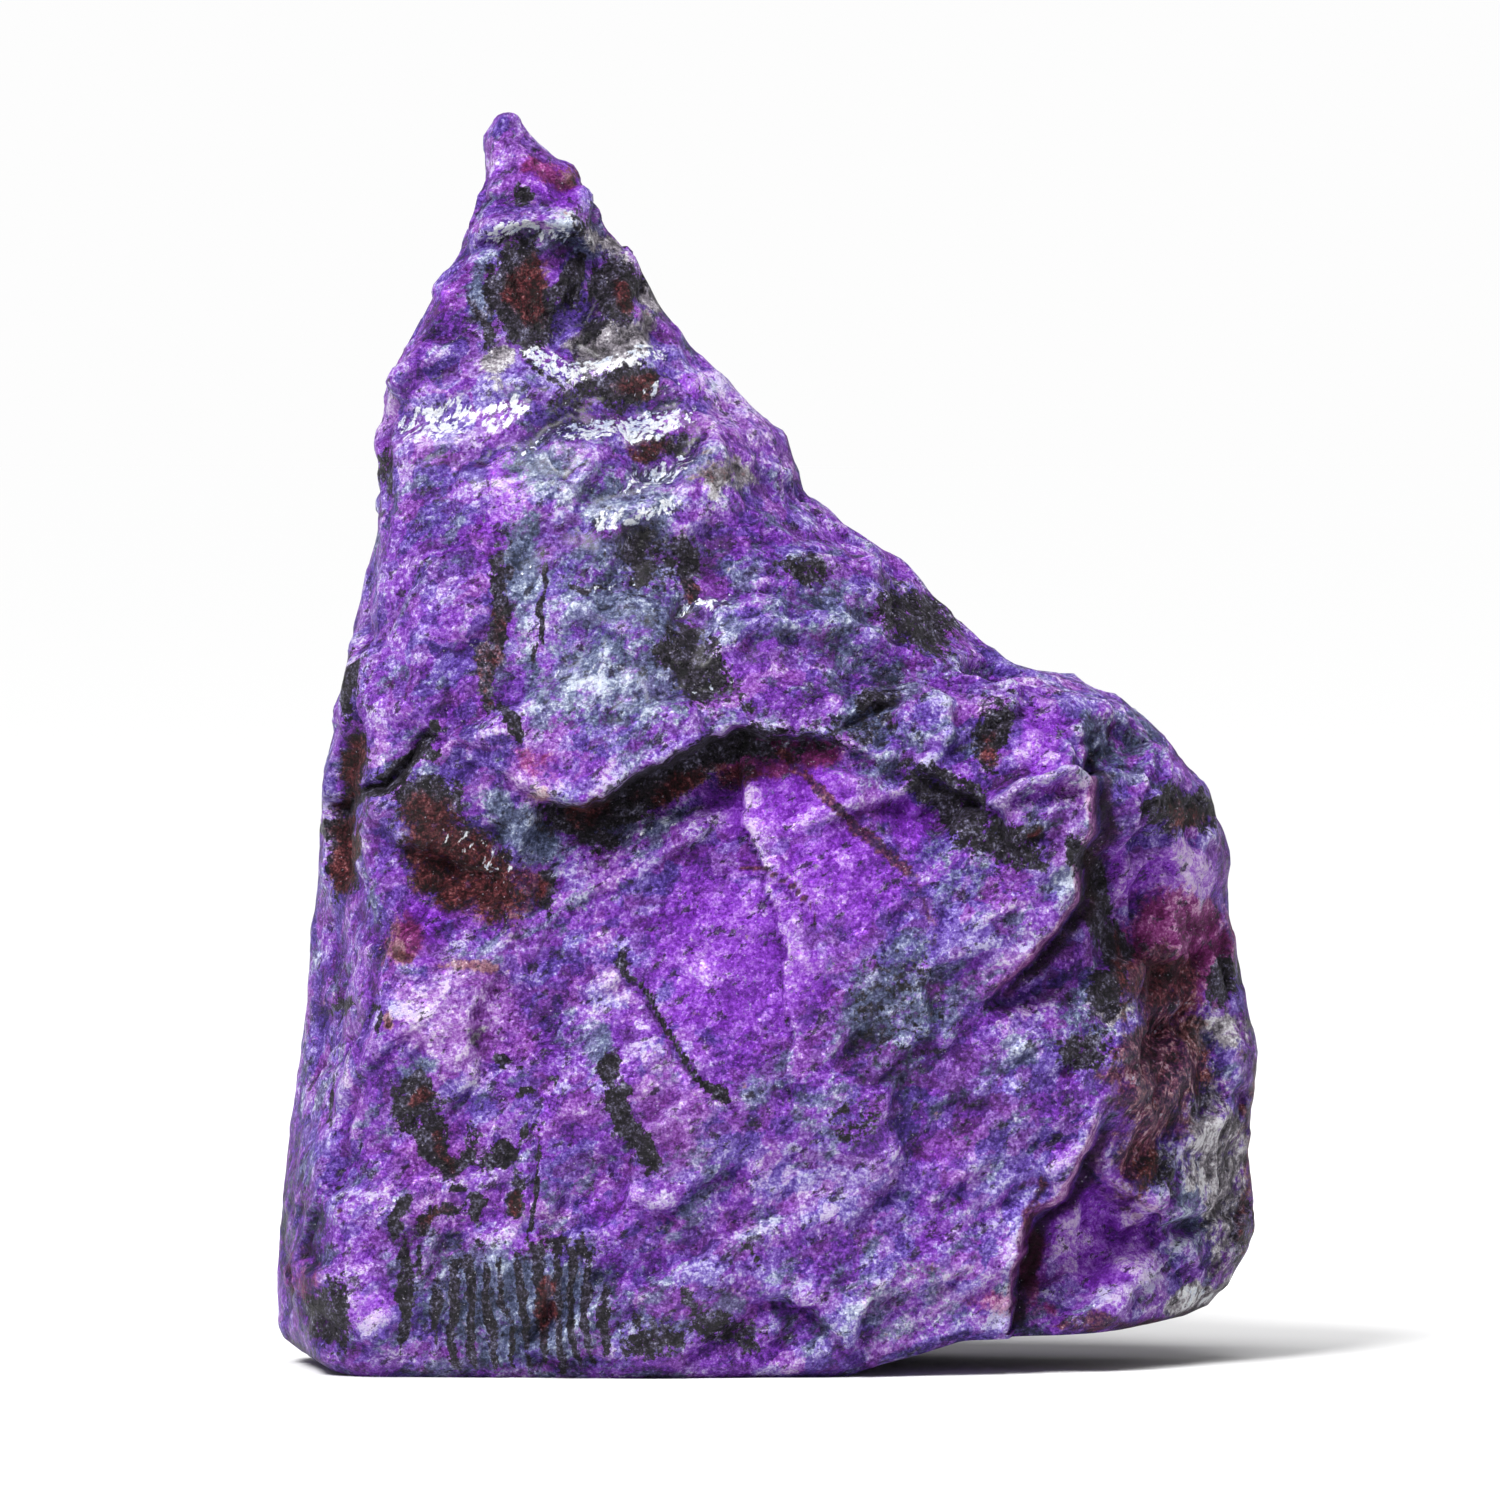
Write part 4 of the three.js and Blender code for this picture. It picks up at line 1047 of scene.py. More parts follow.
# %% Pale and rosy spots
SPOTS |= {
    "lilac": {
        "tip facet": (-21.6, 96.1, 0.7, 1.1, 0, 0.8),
        "streak": (-17.8, 87.9, 0.8, 1.6, 25, 0.7),
        "streak, right": (-14.4, 87.1, 0.4, 2.1, -10, 0.7),
        "left facet": (-28.9, 74.9, 1.6, 3.5, 10, 0.75),
        "round the left shelf": (-24.6, 75.8, 5, 2.6, 10, 1),
        "violet lump": (-20.8, 70.6, 1.2, 1.6, 0, 0.5),
        "top of the facet": (-26, 75.3, 2.7, 1.9, 0, 0.7),
        "right band": (-3, 77, 5.1, 1.9, -42, 0.85),
        "right band, top": (-6, 79.1, 1.8, 1.6, 0, 0.8),
        "right band, foot": (0.5, 73.5, 2.1, 1.4, -45, 0.75),
        "left edge": (-31.6, 59.3, 1.8, 4.2, 0, 0.4),
        "lump": (-28, 27.1, 2.9, 2.7, 0, 0.95),
        "lens": (-25.4, 30.3, 0.9, 1.9, -25, 1),
        "left slab": (-33.1, 19.3, 2.1, 5, 0, 0.8),
        "left slab, foot": (-31.2, 14.1, 1.9, 3.2, 0, 0.5),
        "foot lump": (-31.8, 4.5, 1.8, 2.2, 0, 0.9),
        "by the bar": (-7.5, 22.1, 2.7, 2.1, 0, 0.6),
        "over the bar": (-11.8, 28.9, 2.4, 1.9, 0, 0.62),
        "right of centre": (17.2, 36.2, 1.9, 1.8, 0, 0.75),
        "right patch": (33, 39.4, 3.6, 2.4, 0, 0.9),
        "tile by the valley": (28.8, 39, 1.2, 3, 15, 0.6),
        # The recess: painted light, paler where the lower right scarp casts its shade.
        "recess": (26.4, 10.6, 3, 4.4, -15, 1.25),
        "recess, right": (30.6, 8.6, 2.2, 2.6, 0, 0.9),
        "low middle": (-5, 14, 6, 5, 0, 0.35),
        "above the brow": (-14, 56, 3.6, 3.4, 0, 0.75),
        "strip above the brow": (-19.3, 58, 1.2, 6, 0, 0.5),
        "right strip": (29.3, 36.5, 1.1, 2.4, 0, 0.6),
        "lower face": (5.2, 13.3, 4.5, 3, 0, 0.5),
        "foot right": (12.8, 5.7, 6.4, 3, 0, 0.5),
        "between the teeth": (-21.2, 10.6, 2.7, 1, 0, 0.8),
        "beside": (-17.6, 11.1, 1.8, 1, 0, 0.6),
        "under the brow": (0, 43.9, 3.7, 3.5, 0, 0.15),
        "lower right": (26.8, 5.5, 4.3, 1.4, 0, 0.7),
        "right pale": (34.6, 13.7, 1.4, 2.4, 0, 0.7),
        "lip": (6.8, 50.1, 2.4, 0.6, 15, 0.5),
        "middle left": (-14, 35.3, 4, 3.2, 0, 0.3),
        "right crest": (20.5, 34.5, 1.1, 4, -38, 0.5),
        "crest, low": (22.4, 16.1, 1, 3.2, -30, 0.6),
    },
    "rose": {
        "by the tip": (-16.8, 94.6, 2.9, 1.9, -20, 0.9),
        "dot": (-25.8, 85.3, 0.7, 0.9, 0, 0.9),
        "violet lump": (-20.6, 70.3, 1.8, 2.3, 0, 1),
        "round it": (-21.6, 67.3, 1.8, 2.7, 0, 0.5),
        "right edge": (-6, 78.3, 1.2, 1, 0, 0.9),
        "face right": (11.2, 42.9, 1.8, 3, 20, 0.9),
        "right shoulder": (22, 49.8, 2.1, 3, 0, 0.95),
        "left facet": (-26.8, 35.7, 2.1, 2.4, 0, 0.7),
        "under it": (-27.6, 32.3, 1.8, 0.7, 0, 0.8),
        "lower right": (14, 15.3, 4.3, 3.8, 0, 0.45),
        "right hollow": (32, 34.1, 3.5, 3.2, 0, 0.6),
        "right patch": (33, 39.4, 3.6, 2.4, 0, 1.2),
        "tile by the valley": (28.8, 39, 1.2, 3, 15, 0.7),
        "under the shelf": (-17.4, 47.7, 3.4, 1.6, -10, 0.6),
        "scarp's edge": (24.4, 16.9, 2.4, 1, 35, 0.7),
        "scarp's foot": (21.2, 10.9, 0.7, 3.5, -14, 0.7),
        "dome": (-2, 32.5, 8.2, 8.2, 0, 0.8),
        "over the dome": (6, 39, 6, 5, 0, 0.75),
        "foot lump": (-31.8, 4.5, 1.8, 2.2, 0, 0.6),
        "left slab": (-27.6, 27.3, 2.9, 2.7, 0, 0.4),
        "under the brow": (1.6, 45.6, 6, 3.2, 10, 1.1),
        "recess": (26.8, 10.8, 4, 5, -15, 1.2),
        "middle low": (-11.6, 12.1, 4, 3.2, 0, 0.5),
        "left low": (-25.2, 18.5, 3.2, 4.8, 0, 0.35),
    },
}
print(len(SPOTS["lilac"]), "pale spots and", len(SPOTS["rose"]), "rosy ones")

# %% Deep, pink, magenta and salmon spots
SPOTS |= {
    "deep": {
        "dim middle": (10.8, 28.1, 5.3, 5.8, 0, 0.55),
        "dim middle, foot": (14.8, 20.9, 4.2, 4, 0, 0.5),
        "left": (-26.4, 53.7, 2.1, 3.4, 0, 0.4),
        "scoop": (-15.5, 85.5, 5.6, 3.8, 0, 0.8),
        "left side": (-34.8, 30.1, 1.9, 1.8, 0, 0.7),
        "left facet": (-26.6, 35, 2, 1.7, -20, 1.6),
        "left bevel": (-37.2, 9, 2, 9, 0, 1.1),
        "first shelf": (-12.4, 71.3, 4, 1.6, 0, 0.5),
        "over the brow": (-11.6, 60.9, 2.4, 1.6, 0, 0.5),
        "left shoulder": (-26.8, 82.5, 1.9, 3.2, 0, 0.5),
        "tip side": (-21.2, 92.9, 1.6, 2.4, 0, 0.5),
        "streaks": (-16.4, 75.3, 4.8, 2.4, 0, 0.4),
        "right of the strip": (-10, 68.1, 4, 2.1, 0, 0.3),
        "left face": (-27, 67.5, 2, 3.6, 0, 0.45),
        "shoulder": (4, 60, 6, 4, -35, 0.45),
        "upper face": (-9, 63, 7, 6, 0, 0.35),
        "right": (23.6, 20.1, 3.2, 1.6, 0, 0.5),
        "lower": (6.8, 8.9, 4.8, 1.6, 0, 0.4),
        "upper left": (-29.2, 61.7, 1.4, 3.2, 0, 0.3),
    },
    "pink": {
        "left middle": (-24.5, 27.5, 6, 5, 0, 0.8),
        "low left": (-26, 15, 5, 6, 0, 0.55),
        "by the bar": (-8, 20, 4.5, 4.5, 0, 0.6),
        "over the bar": (-13, 30, 4, 3, 0, 0.5),
        "middle low": (-2, 12, 5, 4, 0, 0.35),
        "right of the foot": (12, 5.5, 6, 3, 0, 0.5),
        "above the brow's left end": (-19, 47, 3, 3, 0, 0.65),
        "right edge of the upper part": (-2, 75, 4, 3, -45, 0.5),
        "tip": (-20, 95, 2, 4, 0, 0.4),
        "right patch": (33, 39, 3, 2, 0, 0.25),
    },
    "magenta": {
        "right hollow": (33, 33.4, 4.6, 4.4, 35, 1.15),
        "by the tip": (-17.4, 95.2, 2.6, 1.3, -15, 0.8),
        "foot edge": (19.5, 4.4, 4.5, 1, 0, 0.6),
        "scarp's foot": (21.6, 8, 1, 4, -5, 0.8),
        "left facet": (-29, 34, 1.5, 2.2, -20, 0.85),
        "left foot": (-37.2, 6.5, 1.8, 3, 0, 0.5),
        "above the brow": (-18, 48.2, 2.6, 1.2, -10, 0.55),
        "under the brow": (1, 48.6, 7.5, 1.6, 5, 0.8),
        "beside the valley": (30.2, 35.6, 0.8, 3, 0, 0.6),
    },
    "salmon": {
        "under the hollow": (-23.6, 32, 3, 0.7, 8, 0.62),
        "left facet": (-29.7, 34.2, 0.7, 2, 0, 0.6),
        "left specks": (-30.1, 27.4, 0.9, 1.2, 0, 0.75),
        "beyond the crack": (-18.5, 45.8, 1.4, 1.2, 30, 0.6),
        "by the tip": (-15.9, 95.2, 1, 0.6, -30, 0.7),
    },
}
print(len(SPOTS["deep"]), "deep spots and", len(SPOTS["pink"]), "pink ones")

# %% Places without ore, and painted highlight, fibres and waves
SPOTS |= {
    "bare": {
        "tongue in the scoop": (-17.5, 88.4, 0.6, 1.8, 18, 1),
        "streak in the scoop": (-14.5, 87.1, 0.4, 2.2, -4, 1),
        "violet in the scoop": (-15.8, 83.8, 1.5, 1.7, 0, 0.9),
        "foot lump": (-31.6, 4.6, 1.7, 2.5, 0, 1),
    },
    # Painted highlights: the shine of the wavy shelves and glints in and beside the hollow, bluish white.
    "painted highlight": {
        "above the brow": (-14, 55.5, 3.8, 3.6, 0, 0.5),
        "streaks between the shelves": (-14.5, 77.4, 4.5, 1.6, 8, 0.42),
        "round the left shelf": (-24.6, 75.8, 4.8, 2.4, 10, 0.7),
        "glints in the hollow": (-22.6, 41, 4, 2.2, -35, 0.6),
        "glints beside the hollow": (-10, 42.5, 5, 1.5, 20, 0.5),
        "pale corner": (34.4, 5.6, 2.4, 1.2, 12, 0.9),
        "right white": (37.8, 26.8, 0.9, 1.8, 0, 0.55),
        "pale strip": (-19.4, 63, 1.1, 4.4, 0, 0.4),
        "slope by the tip": (-8.6, 77.6, 1.2, 1, 0, 0.5),
    },
    "fan": {
        "brown fan": (31.6, 22, 4.6, 9.5, -20, 1),
        "grey fibres": (36.4, 15.5, 3, 9, 0, 1),
    },
    "crinkle": {
        "shelves": (-13.2, 73.7, 10.4, 8.8, 0, 1),
        "left shelf": (-25.6, 75.3, 4, 2.9, 0, 1),
        "tip lip": (-19.6, 90.6, 3.2, 1, 0, 0.8),
        "above the brow": (-10, 56.9, 8.8, 4.8, 0, 0.5),
    },
}

print("the paint has", sum(map(len, SPOTS.values())), "spots in all")

# %% Strokes: half width, then x, height and strength at each station
STROKES = {
    "rust": {
        "crease below the brow": (0.4, [
            (1.2, 48.9, 0.8), (3.6, 46.3, 0.9), (5.6, 45.3, 0.9), (7.8, 43.2, 0.9), (10.0, 40.7, 0.8),
            (11.6, 39.1, 0.7), (13.0, 37.1, 0.6), (13.9, 33.9, 0.4),
        ]),
        "rim of the dome": (0.2, [
            (-3.2, 40.5, 0.5), (0, 39.6, 0.85), (2.2, 38, 0.9), (3.6, 36, 0.8), (4.2, 34.2, 0.5),
        ]),
        "edge of the right hollow": (0.35, [
            (28.4, 34.5, 0.5), (28.2, 28.9, 0.7), (28.5, 24.1, 0.7), (28.2, 20.1, 0.6),
        ]),
    },
    # Painted highlights along the lips of the shelves.
    "painted highlight": {
        "lip of the tip": (0.55, [
            (-22.3, 89.8, 0.7), (-21.2, 90.7, 1), (-19.2, 91.1, 1), (-17.6, 90.3, 0.9), (-16.2, 90.4, 0.9),
            (-14.6, 90.4, 0.6), (-13, 89.4, 0.4),
        ]),
        "first shelf": (0.75, [
            (-19.4, 80.8, 0.8), (-17.5, 80.2, 1), (-15.5, 79.4, 0.95), (-13.4, 80, 0.95), (-10.8, 80.6, 0.95),
            (-8.6, 80.9, 0.8),
        ]),
        "left shelf": (1.3, [(-28, 74.7, 0.85), (-26.2, 75.4, 1), (-24.2, 76.4, 0.9)]),
        "left shelf, further on": (1.2, [
            (-24.2, 76.4, 0.5), (-22.4, 75.6, 0.9), (-20.2, 76.6, 0.9), (-18.6, 77.6, 0.5),
        ]),
        "second shelf": (0.95, [
            (-15.6, 74.1, 0.8), (-13, 74.7, 1), (-10, 75, 1), (-7.4, 75.7, 1), (-5.8, 76.2, 0.7),
        ]),
        "beside the streak band": (0.8, [(-10.8, 77.3, 0.5), (-9, 78, 0.85), (-7.6, 78.6, 0.7)]),
        "thin streak": (0.3, [(-20.4, 72.9, 0.8), (-18.5, 73.5, 0.9), (-16.4, 74.4, 0.8)]),
        "third shelf": (0.9, [(-11, 70.6, 0.7), (-8.5, 71.4, 0.9), (-6.3, 72.5, 0.7)]),
        "below it": (0.9, [(-13.4, 67.3, 0.7), (-10.5, 68, 0.9), (-7.4, 69, 0.8)]),
        "fourth shelf": (0.6, [(-6.8, 60.3, 0.8), (-4.6, 60.7, 0.9), (-2.6, 61.4, 0.6)]),
        "bar in the upper part": (0.5, [(-14, 62.2, 0.7), (-11, 62.8, 0.7)]),
        "fifth shelf": (0.5, [(-5.6, 54.1, 0.65), (-3, 54.8, 0.6)]),
    },
    "ink": {
        # Along the brow's underside: painted shade under the overhang, with dark ore in it.
        "under the brow": (1.3, [
            (-17.5, 43.6, 0.5), (-14.5, 43.8, 0.95), (-11, 45, 0.95), (-7, 47, 0.9), (-4, 49, 0.9),
            (-1, 49.8, 0.85), (2, 49.3, 0.5), (6, 50.6, 0.4), (9.5, 51.2, 0.4),
        ]),
        "long crack": (0.2, [
            (-11.8, 32.9, 0.6), (-10, 29.7, 0.95), (-8, 26.9, 1), (-6.5, 24.9, 0.95), (-5.2, 22.5, 1),
            (-3.5, 21.2, 0.9),
        ]),
        "crack through the first shelf": (0.14, [
            (-19.9, 80.6, 0.6), (-18.3, 79.6, 0.9), (-16.4, 78.6, 0.9), (-15.3, 79.7, 0.8),
            (-15.1, 81.3, 0.8), (-13.8, 83.1, 0.8), (-12.4, 84.9, 0.6),
        ]),
        "dotted seam": (0.17, [(-18.2, 19.3, 0.6), (-18.3, 14.5, 0.95), (-18.8, 10.9, 0.85)]),
        "line on the left bevel": (0.14, [(-34.8, 23.3, 0.6), (-34.5, 20.9, 0.9), (-34.6, 18.5, 0.7)]),
        "line off the ringed patch": (0.15, [(-25.7, 14.8, 0.8), (-24.6, 14.2, 0.9), (-23.3, 13.6, 0.8)]),
        "black crack": (0.5, [
            (-35.2, 43.1, 0.8), (-32, 45.7, 1), (-29.6, 47.1, 1), (-28, 49, 1), (-26.8, 51, 0.8),
        ]),
    },
}
print("and", sum(map(len, STROKES.values())), "strokes")

# %% [markdown]
# ## From the picture to the mesh
# The spots are placed where the camera sees them, so every point of the mesh is first carried to its
# place in the picture. Noise bends the spots' edges. Strokes take the bend of the ledges and cracks that
# they lie on. The paint ends at both sides of the front in a ragged border.

# %% Places in the picture
SPOT_BEND = 0.75  # millimetres by which noise bends a spot's edge
SPOT_BEND_CELL = 2.6
BORDER_BEND = 0.45  # how far noise bends the paint's border, in ridges
BORDER_CELL = 7


def seen(points):
    """Where the camera sees each point: its place across and up the picture, in millimetres."""
    x, y, z = np.moveaxis(points, -1, 0)
    ahead = y * math.cos(EYE_LIFT) - (z - LOOK_AT[2]) * math.sin(EYE_LIFT)
    up = (z - LOOK_AT[2]) * math.cos(EYE_LIFT) + y * math.sin(EYE_LIFT)
    scale = EYE_DISTANCE / (EYE_DISTANCE + ahead)
    return LOOK_AT[0] + (x - LOOK_AT[0]) * scale, LOOK_AT[2] + up * scale


def front_paint():
    """1 on the painted front and 0 on the back, with a border bent by noise."""
    turn = TURNS + BORDER_BEND * crumpled(SURFACE, BORDER_CELL, 139, 4)
    return np.where(TURNS > 5, smooth(6.2, 6.8, turn), 1 - smooth(3.3, 3.8, turn))


ACROSS, UP = seen(SURFACE)
SPOT_ACROSS = ACROSS + SPOT_BEND * crumpled(SURFACE, SPOT_BEND_CELL, 91, 4)
SPOT_UP = UP + SPOT_BEND * crumpled(SURFACE, SPOT_BEND_CELL, 97, 4)
STROKE_ACROSS = ACROSS + BENT_X - PLAIN[..., 0]
STROKE_UP = UP + BENT_Z - PLAIN[..., 2]
FRONT_PAINT = front_paint()
print("the front's paint covers", round(100 * float(FRONT_PAINT.mean())), "% of the points")

# %% Spots, strokes and stains as numbers
# Cell, salt and the levels between which a stain of the back grows to its full strength.
BACK_STAINS = {
    "ink": (9, 101, 0.2, 0.8), "rust": (7, 103, 0.35, 0.9), "slate": (8, 107, 0.1, 0.7),
    "ash": (9, 109, 0.5, 1.1), "lilac": (8, 113, 0.0, 0.6), "rose": (10, 127, 0.0, 0.6),
    "deep": (9, 131, 0.1, 0.7), "magenta": (7, 137, 0.45, 1.1), "pink": (12, 149, 0.1, 0.7),
}


def painted(name):
    """The strongest of the spots and strokes at each point, level inside and soft over the edge."""
    value = np.zeros(ACROSS.shape)
    for *place, strength in SPOTS[name].values():
        value = np.maximum(value, strength * smooth(1.5, 0.35, oval(SPOT_ACROSS, SPOT_UP, *place)))
    for half_width, path in STROKES.get(name, {}).values():
        away, strength = walk(path, STROKE_ACROSS, STROKE_UP)
        value = np.maximum(value, strength * smooth(1.6, 0.6, np.abs(away) / half_width))
    return value * FRONT_PAINT


def stains(cell, salt, low, high):
    """Stains on the sides and the back, where crumpled noise is above a level."""
    return smooth(low, high, crumpled(SURFACE, cell, salt, 4)) * (1 - FRONT_PAINT)


def paint(mesh, name, value):
    """Stores one number per point of the mesh: the grid's values, and the nearest row's on both ends."""
    foot = np.repeat(value[:1], len(FOOT_RINGS), 0)
    knob = np.repeat(value[-1:], len(TIP_RINGS), 0)
    ends = [value[0].mean(), value[-1].mean()]
    store = mesh.attributes.new(name, "FLOAT", "POINT")
    numbers = np.concatenate([foot.ravel(), value.ravel(), knob.ravel(), ends])
    store.data.foreach_set("value", numbers.astype(np.float32))


for name in SPOTS:
    value = painted(name)
    if name in BACK_STAINS:
        value = value + stains(*BACK_STAINS[name])
    paint(STONE.data, name, value)
    print(name, "covers", round(100 * float((value > 0.5).mean())), "% of the points")

# %% [markdown]
# ## Numbers that come from the shape
# Painted light and shade: crests are painted paler and pits and creases darker, so the material also
# reads how far each point stands out from what is round it, once finely and once over several
# millimetres. Along the steep ledges a painted magenta glow lies on the thin edge, and a painted dark red
# shade at the foot of the wall.

# %% Crests, ribs, and the edges and feet of the walls
# By the steep ledges the edge takes a painted magenta glow and the foot of the wall a painted dark red shade.
EDGED = ["right side scarp", "lower right scarp", "rib beyond the lower right hollow"]
FULL_DROP = 3.5  # a ledge this deep has its edge and its foot in full colour
EDGE_BAND = (0.2, 0.42)  # how far before the wall the edge's colour lies, and its half width
FOOT_BAND = (0.1, 0.7, 0.9, 0.8)  # where the foot's colour starts, is full and ends, and its fading


def ledge_bands():
    """A painted glow just above each steep ledge, and a band of painted shade at its wall's foot that fades
    away below.
    """
    before, half_width = EDGE_BAND
    start, full_at, end, fading = FOOT_BAND
    edge, foot = np.zeros(BENT_X.shape), np.zeros(BENT_X.shape)
    for name in EDGED:
        down, drop = walk(FRONT_LEDGES[name][2], BENT_X, BENT_Z)
        full = np.minimum(1, drop / FULL_DROP) * FRONT_SHARE
        edge = np.maximum(edge, full * np.exp(-(((down + before) / half_width) ** 2)))
        fade = np.exp(-np.maximum(0, down - end) / fading)
        foot = np.maximum(foot, full * smooth(start, full_at, down) * fade)
    return edge, foot


def blurred(value, passes):
    """Each point's value averaged with its neighbours' in the grid, again and again."""
    for _ in range(passes):
        value = (np.roll(value, 1, 1) + 2 * value + np.roll(value, -1, 1)) / 4
        above = np.concatenate([value[1:], value[-1:]])
        below = np.concatenate([value[:1], value[:-1]])
        value = (below + 2 * value + above) / 4
    return value


def standing_out(passes, size):
    """How far each point stands above its blurred neighbourhood, in units of a size, from -1 to 1."""
    height = ((SURFACE - PLAIN) * NORMALS).sum(-1)
    return np.clip((height - blurred(height, passes)) / size, -1, 1)


EDGE, WALL_FOOT = ledge_bands()
# crest and shape: painted highlight where a point stands out, painted shade in pits and creases.
SHAPES = {
    "crest": standing_out(8, 0.3),
    "shape": standing_out(70, 1.3),
    "ribs": ribs(BENT_X, BENT_Z) * FRONT_SHARE,
    "edge": EDGE,
    "wall foot": WALL_FOOT,
}
for name, value in SHAPES.items():
    paint(STONE.data, name, value)
    print(name, "has a mean size of", round(float(np.abs(value).mean()), 2))

# %% [markdown]
# ## Making a material from nodes
# A material is a graph. A few small helpers keep it readable: one adds a node and fills its sockets with
# numbers or with other nodes' outputs, and the others do arithmetic, blend two colours, cut a value by a
# step, read a painted number and turn a value into a colour.

# %% The material and its nodes
MATERIAL = bpy.data.materials.new("sugilite")
MATERIAL.use_nodes = True
TREE = MATERIAL.node_tree
TREE.nodes.clear()


def node(kind, inputs, output=0, **settings):
    """Adds a node, sets its settings and sockets, and gives one of its outputs."""
    made = TREE.nodes.new(kind)
    for name, value in settings.items():
        setattr(made, name, value)
    for key, value in inputs.items():
        if isinstance(value, bpy.types.NodeSocket):
            TREE.links.new(value, made.inputs[key])
        else:
            made.inputs[key].default_value = value
    return made.outputs[output]


print("the material", MATERIAL.name, "starts with", len(TREE.nodes), "nodes")


# %% Arithmetic, blends and ramps
def maths(operation, a, b=0.0, c=0.0):
    """One step of arithmetic on numbers or sockets."""
    return node("ShaderNodeMath", {0: a, 1: b, 2: c}, operation=operation)


def times(a, b):
    """Two values multiplied."""
    return maths("MULTIPLY", a, b)


def total(*values):
    """Any number of values added up."""
    made = values[0]
    for value in values[1:]:
        made = maths("ADD", made, value)
    return made


def swing(value, amount):
    """How far a noise is from its middle, times an amount."""
    return maths("MULTIPLY_ADD", value, amount, -0.5 * amount)


def blend(share, a, b):
    """Colour a where the share is 0 and colour b where it is 1."""
    return node("ShaderNodeMix", {0: share, 6: a, 7: b}, 2, data_type="RGBA")


def step(value, low, high):
    """A smooth step from 0 at low to 1 at high."""
    return node(
        "ShaderNodeMapRange", {0: value, 1: low, 2: high, 3: 0.0, 4: 1.0}, interpolation_type="SMOOTHSTEP"
    )


def layer(name):
    """The number painted on the mesh under this name."""
    return node("ShaderNodeAttribute", {}, 2, attribute_name=name)


def weighed(amounts):
    """The painted numbers, each times its own amount, added up."""
    return total(*[times(layer(name), amount) for name, amount in amounts.items()])


def ramp(value, stops):
    """A colour for each value, blended between stops of (value, colour)."""
    made = TREE.nodes.new("ShaderNodeValToRGB")
    TREE.links.new(value, made.inputs[0])
    elements = made.color_ramp.elements
    while len(elements) < len(stops):
        elements.new(0.5)
    for element, (place, colour) in zip(elements, stops):
        element.position = place
        element.color = (*colour, 1)
    return made.outputs[0]


print("the mesh carries", len(STONE.data.attributes), "attributes for the material to read")

# %% [markdown]
# ## Grain
# Sugilite is an aggregate of tiny crystals. Close to, every violet surface is a mix of dark, saturated
# and frosty grains a third of a millimetre across. Noise at four sizes, and one random number per
# crystal, make that up. Larger ragged pieces, the shards, differ from each other in tone and hue, as the
# faces of a break do. Fibres and ripples are noise drawn out along an angle. All of it is read in
# millimetres on the object itself.

# %% Noises
PLACE = node("ShaderNodeTexCoord", {}, 3)
PLACE_MM = node("ShaderNodeVectorMath", {0: PLACE, "Scale": 1000.0}, operation="SCALE")


def noise(size, detail=3.0, roughness=0.6, shift=0.0, drawn_out=1.0, angle=0.0):
    """Noise from 0 to 1 with lumps of a size in millimetres, drawn out along an angle of the front view."""
    place = node(
        "ShaderNodeMapping",
        {
            "Vector": PLACE_MM,
            "Location": (shift, shift, shift),
            "Rotation": (0, -angle, 0),
            "Scale": (drawn_out, 1, 1),
        },
        vector_type="TEXTURE",
    )
    return node(
        "ShaderNodeTexNoise", {"Vector": place, "Scale": 1 / size, "Detail": detail, "Roughness": roughness}
    )


CLOUDS = noise(5.0, 4, 0.6)
MOTTLE = noise(1.5, 4, 0.65, 11)
GRAIN = noise(0.42, 3, 0.7, 23)
FINE = noise(0.22, 2, 0.6, 29)
FIBRES = noise(0.5, 4, 0.6, 79, 8, FAN_ANGLE)
RIPPLES = noise(0.5, 3, 0.6, 53, 3.0, math.radians(68))
CRYSTALS = node("ShaderNodeTexVoronoi", {"Vector": PLACE_MM, "Scale": 2.6, "Randomness": 1.0}, 1)
CRYSTAL = node("ShaderNodeSeparateColor", {0: CRYSTALS})
print("the grain takes", len(TREE.nodes), "nodes")


# %% Shards
def shards(size, shift):
    """Random numbers for ragged pieces of a size, drawn out along the fabric: three outputs' sockets."""
    warp = node("ShaderNodeTexNoise", {"Vector": PLACE_MM, "Scale": 1.4 / size, "Detail": 3.0}, 1)
    bent = node(
        "ShaderNodeVectorMath", {0: warp, 1: (size, size, size), 2: PLACE_MM}, operation="MULTIPLY_ADD"
    )
    place = node(
        "ShaderNodeMapping",
        {
            "Vector": bent,
            "Location": (shift, shift, shift),
            "Rotation": (0, -FABRIC_TURN, 0),
            "Scale": (FABRIC_STRETCH, 1, 1),
        },
        vector_type="TEXTURE",
    )
    pieces = node("ShaderNodeTexVoronoi", {"Vector": place, "Scale": 1 / size, "Randomness": 1.0}, 1)
    return [node("ShaderNodeSeparateColor", {0: pieces}, output) for output in range(3)]


LARGE_SHARDS = shards(2.6, 3)
SMALL_SHARDS = shards(1.0, 19)
print("and with the shards", len(TREE.nodes))

# %% Tone
TONE_MIDDLE = 0.588
ORE_MIDDLE = 0.44


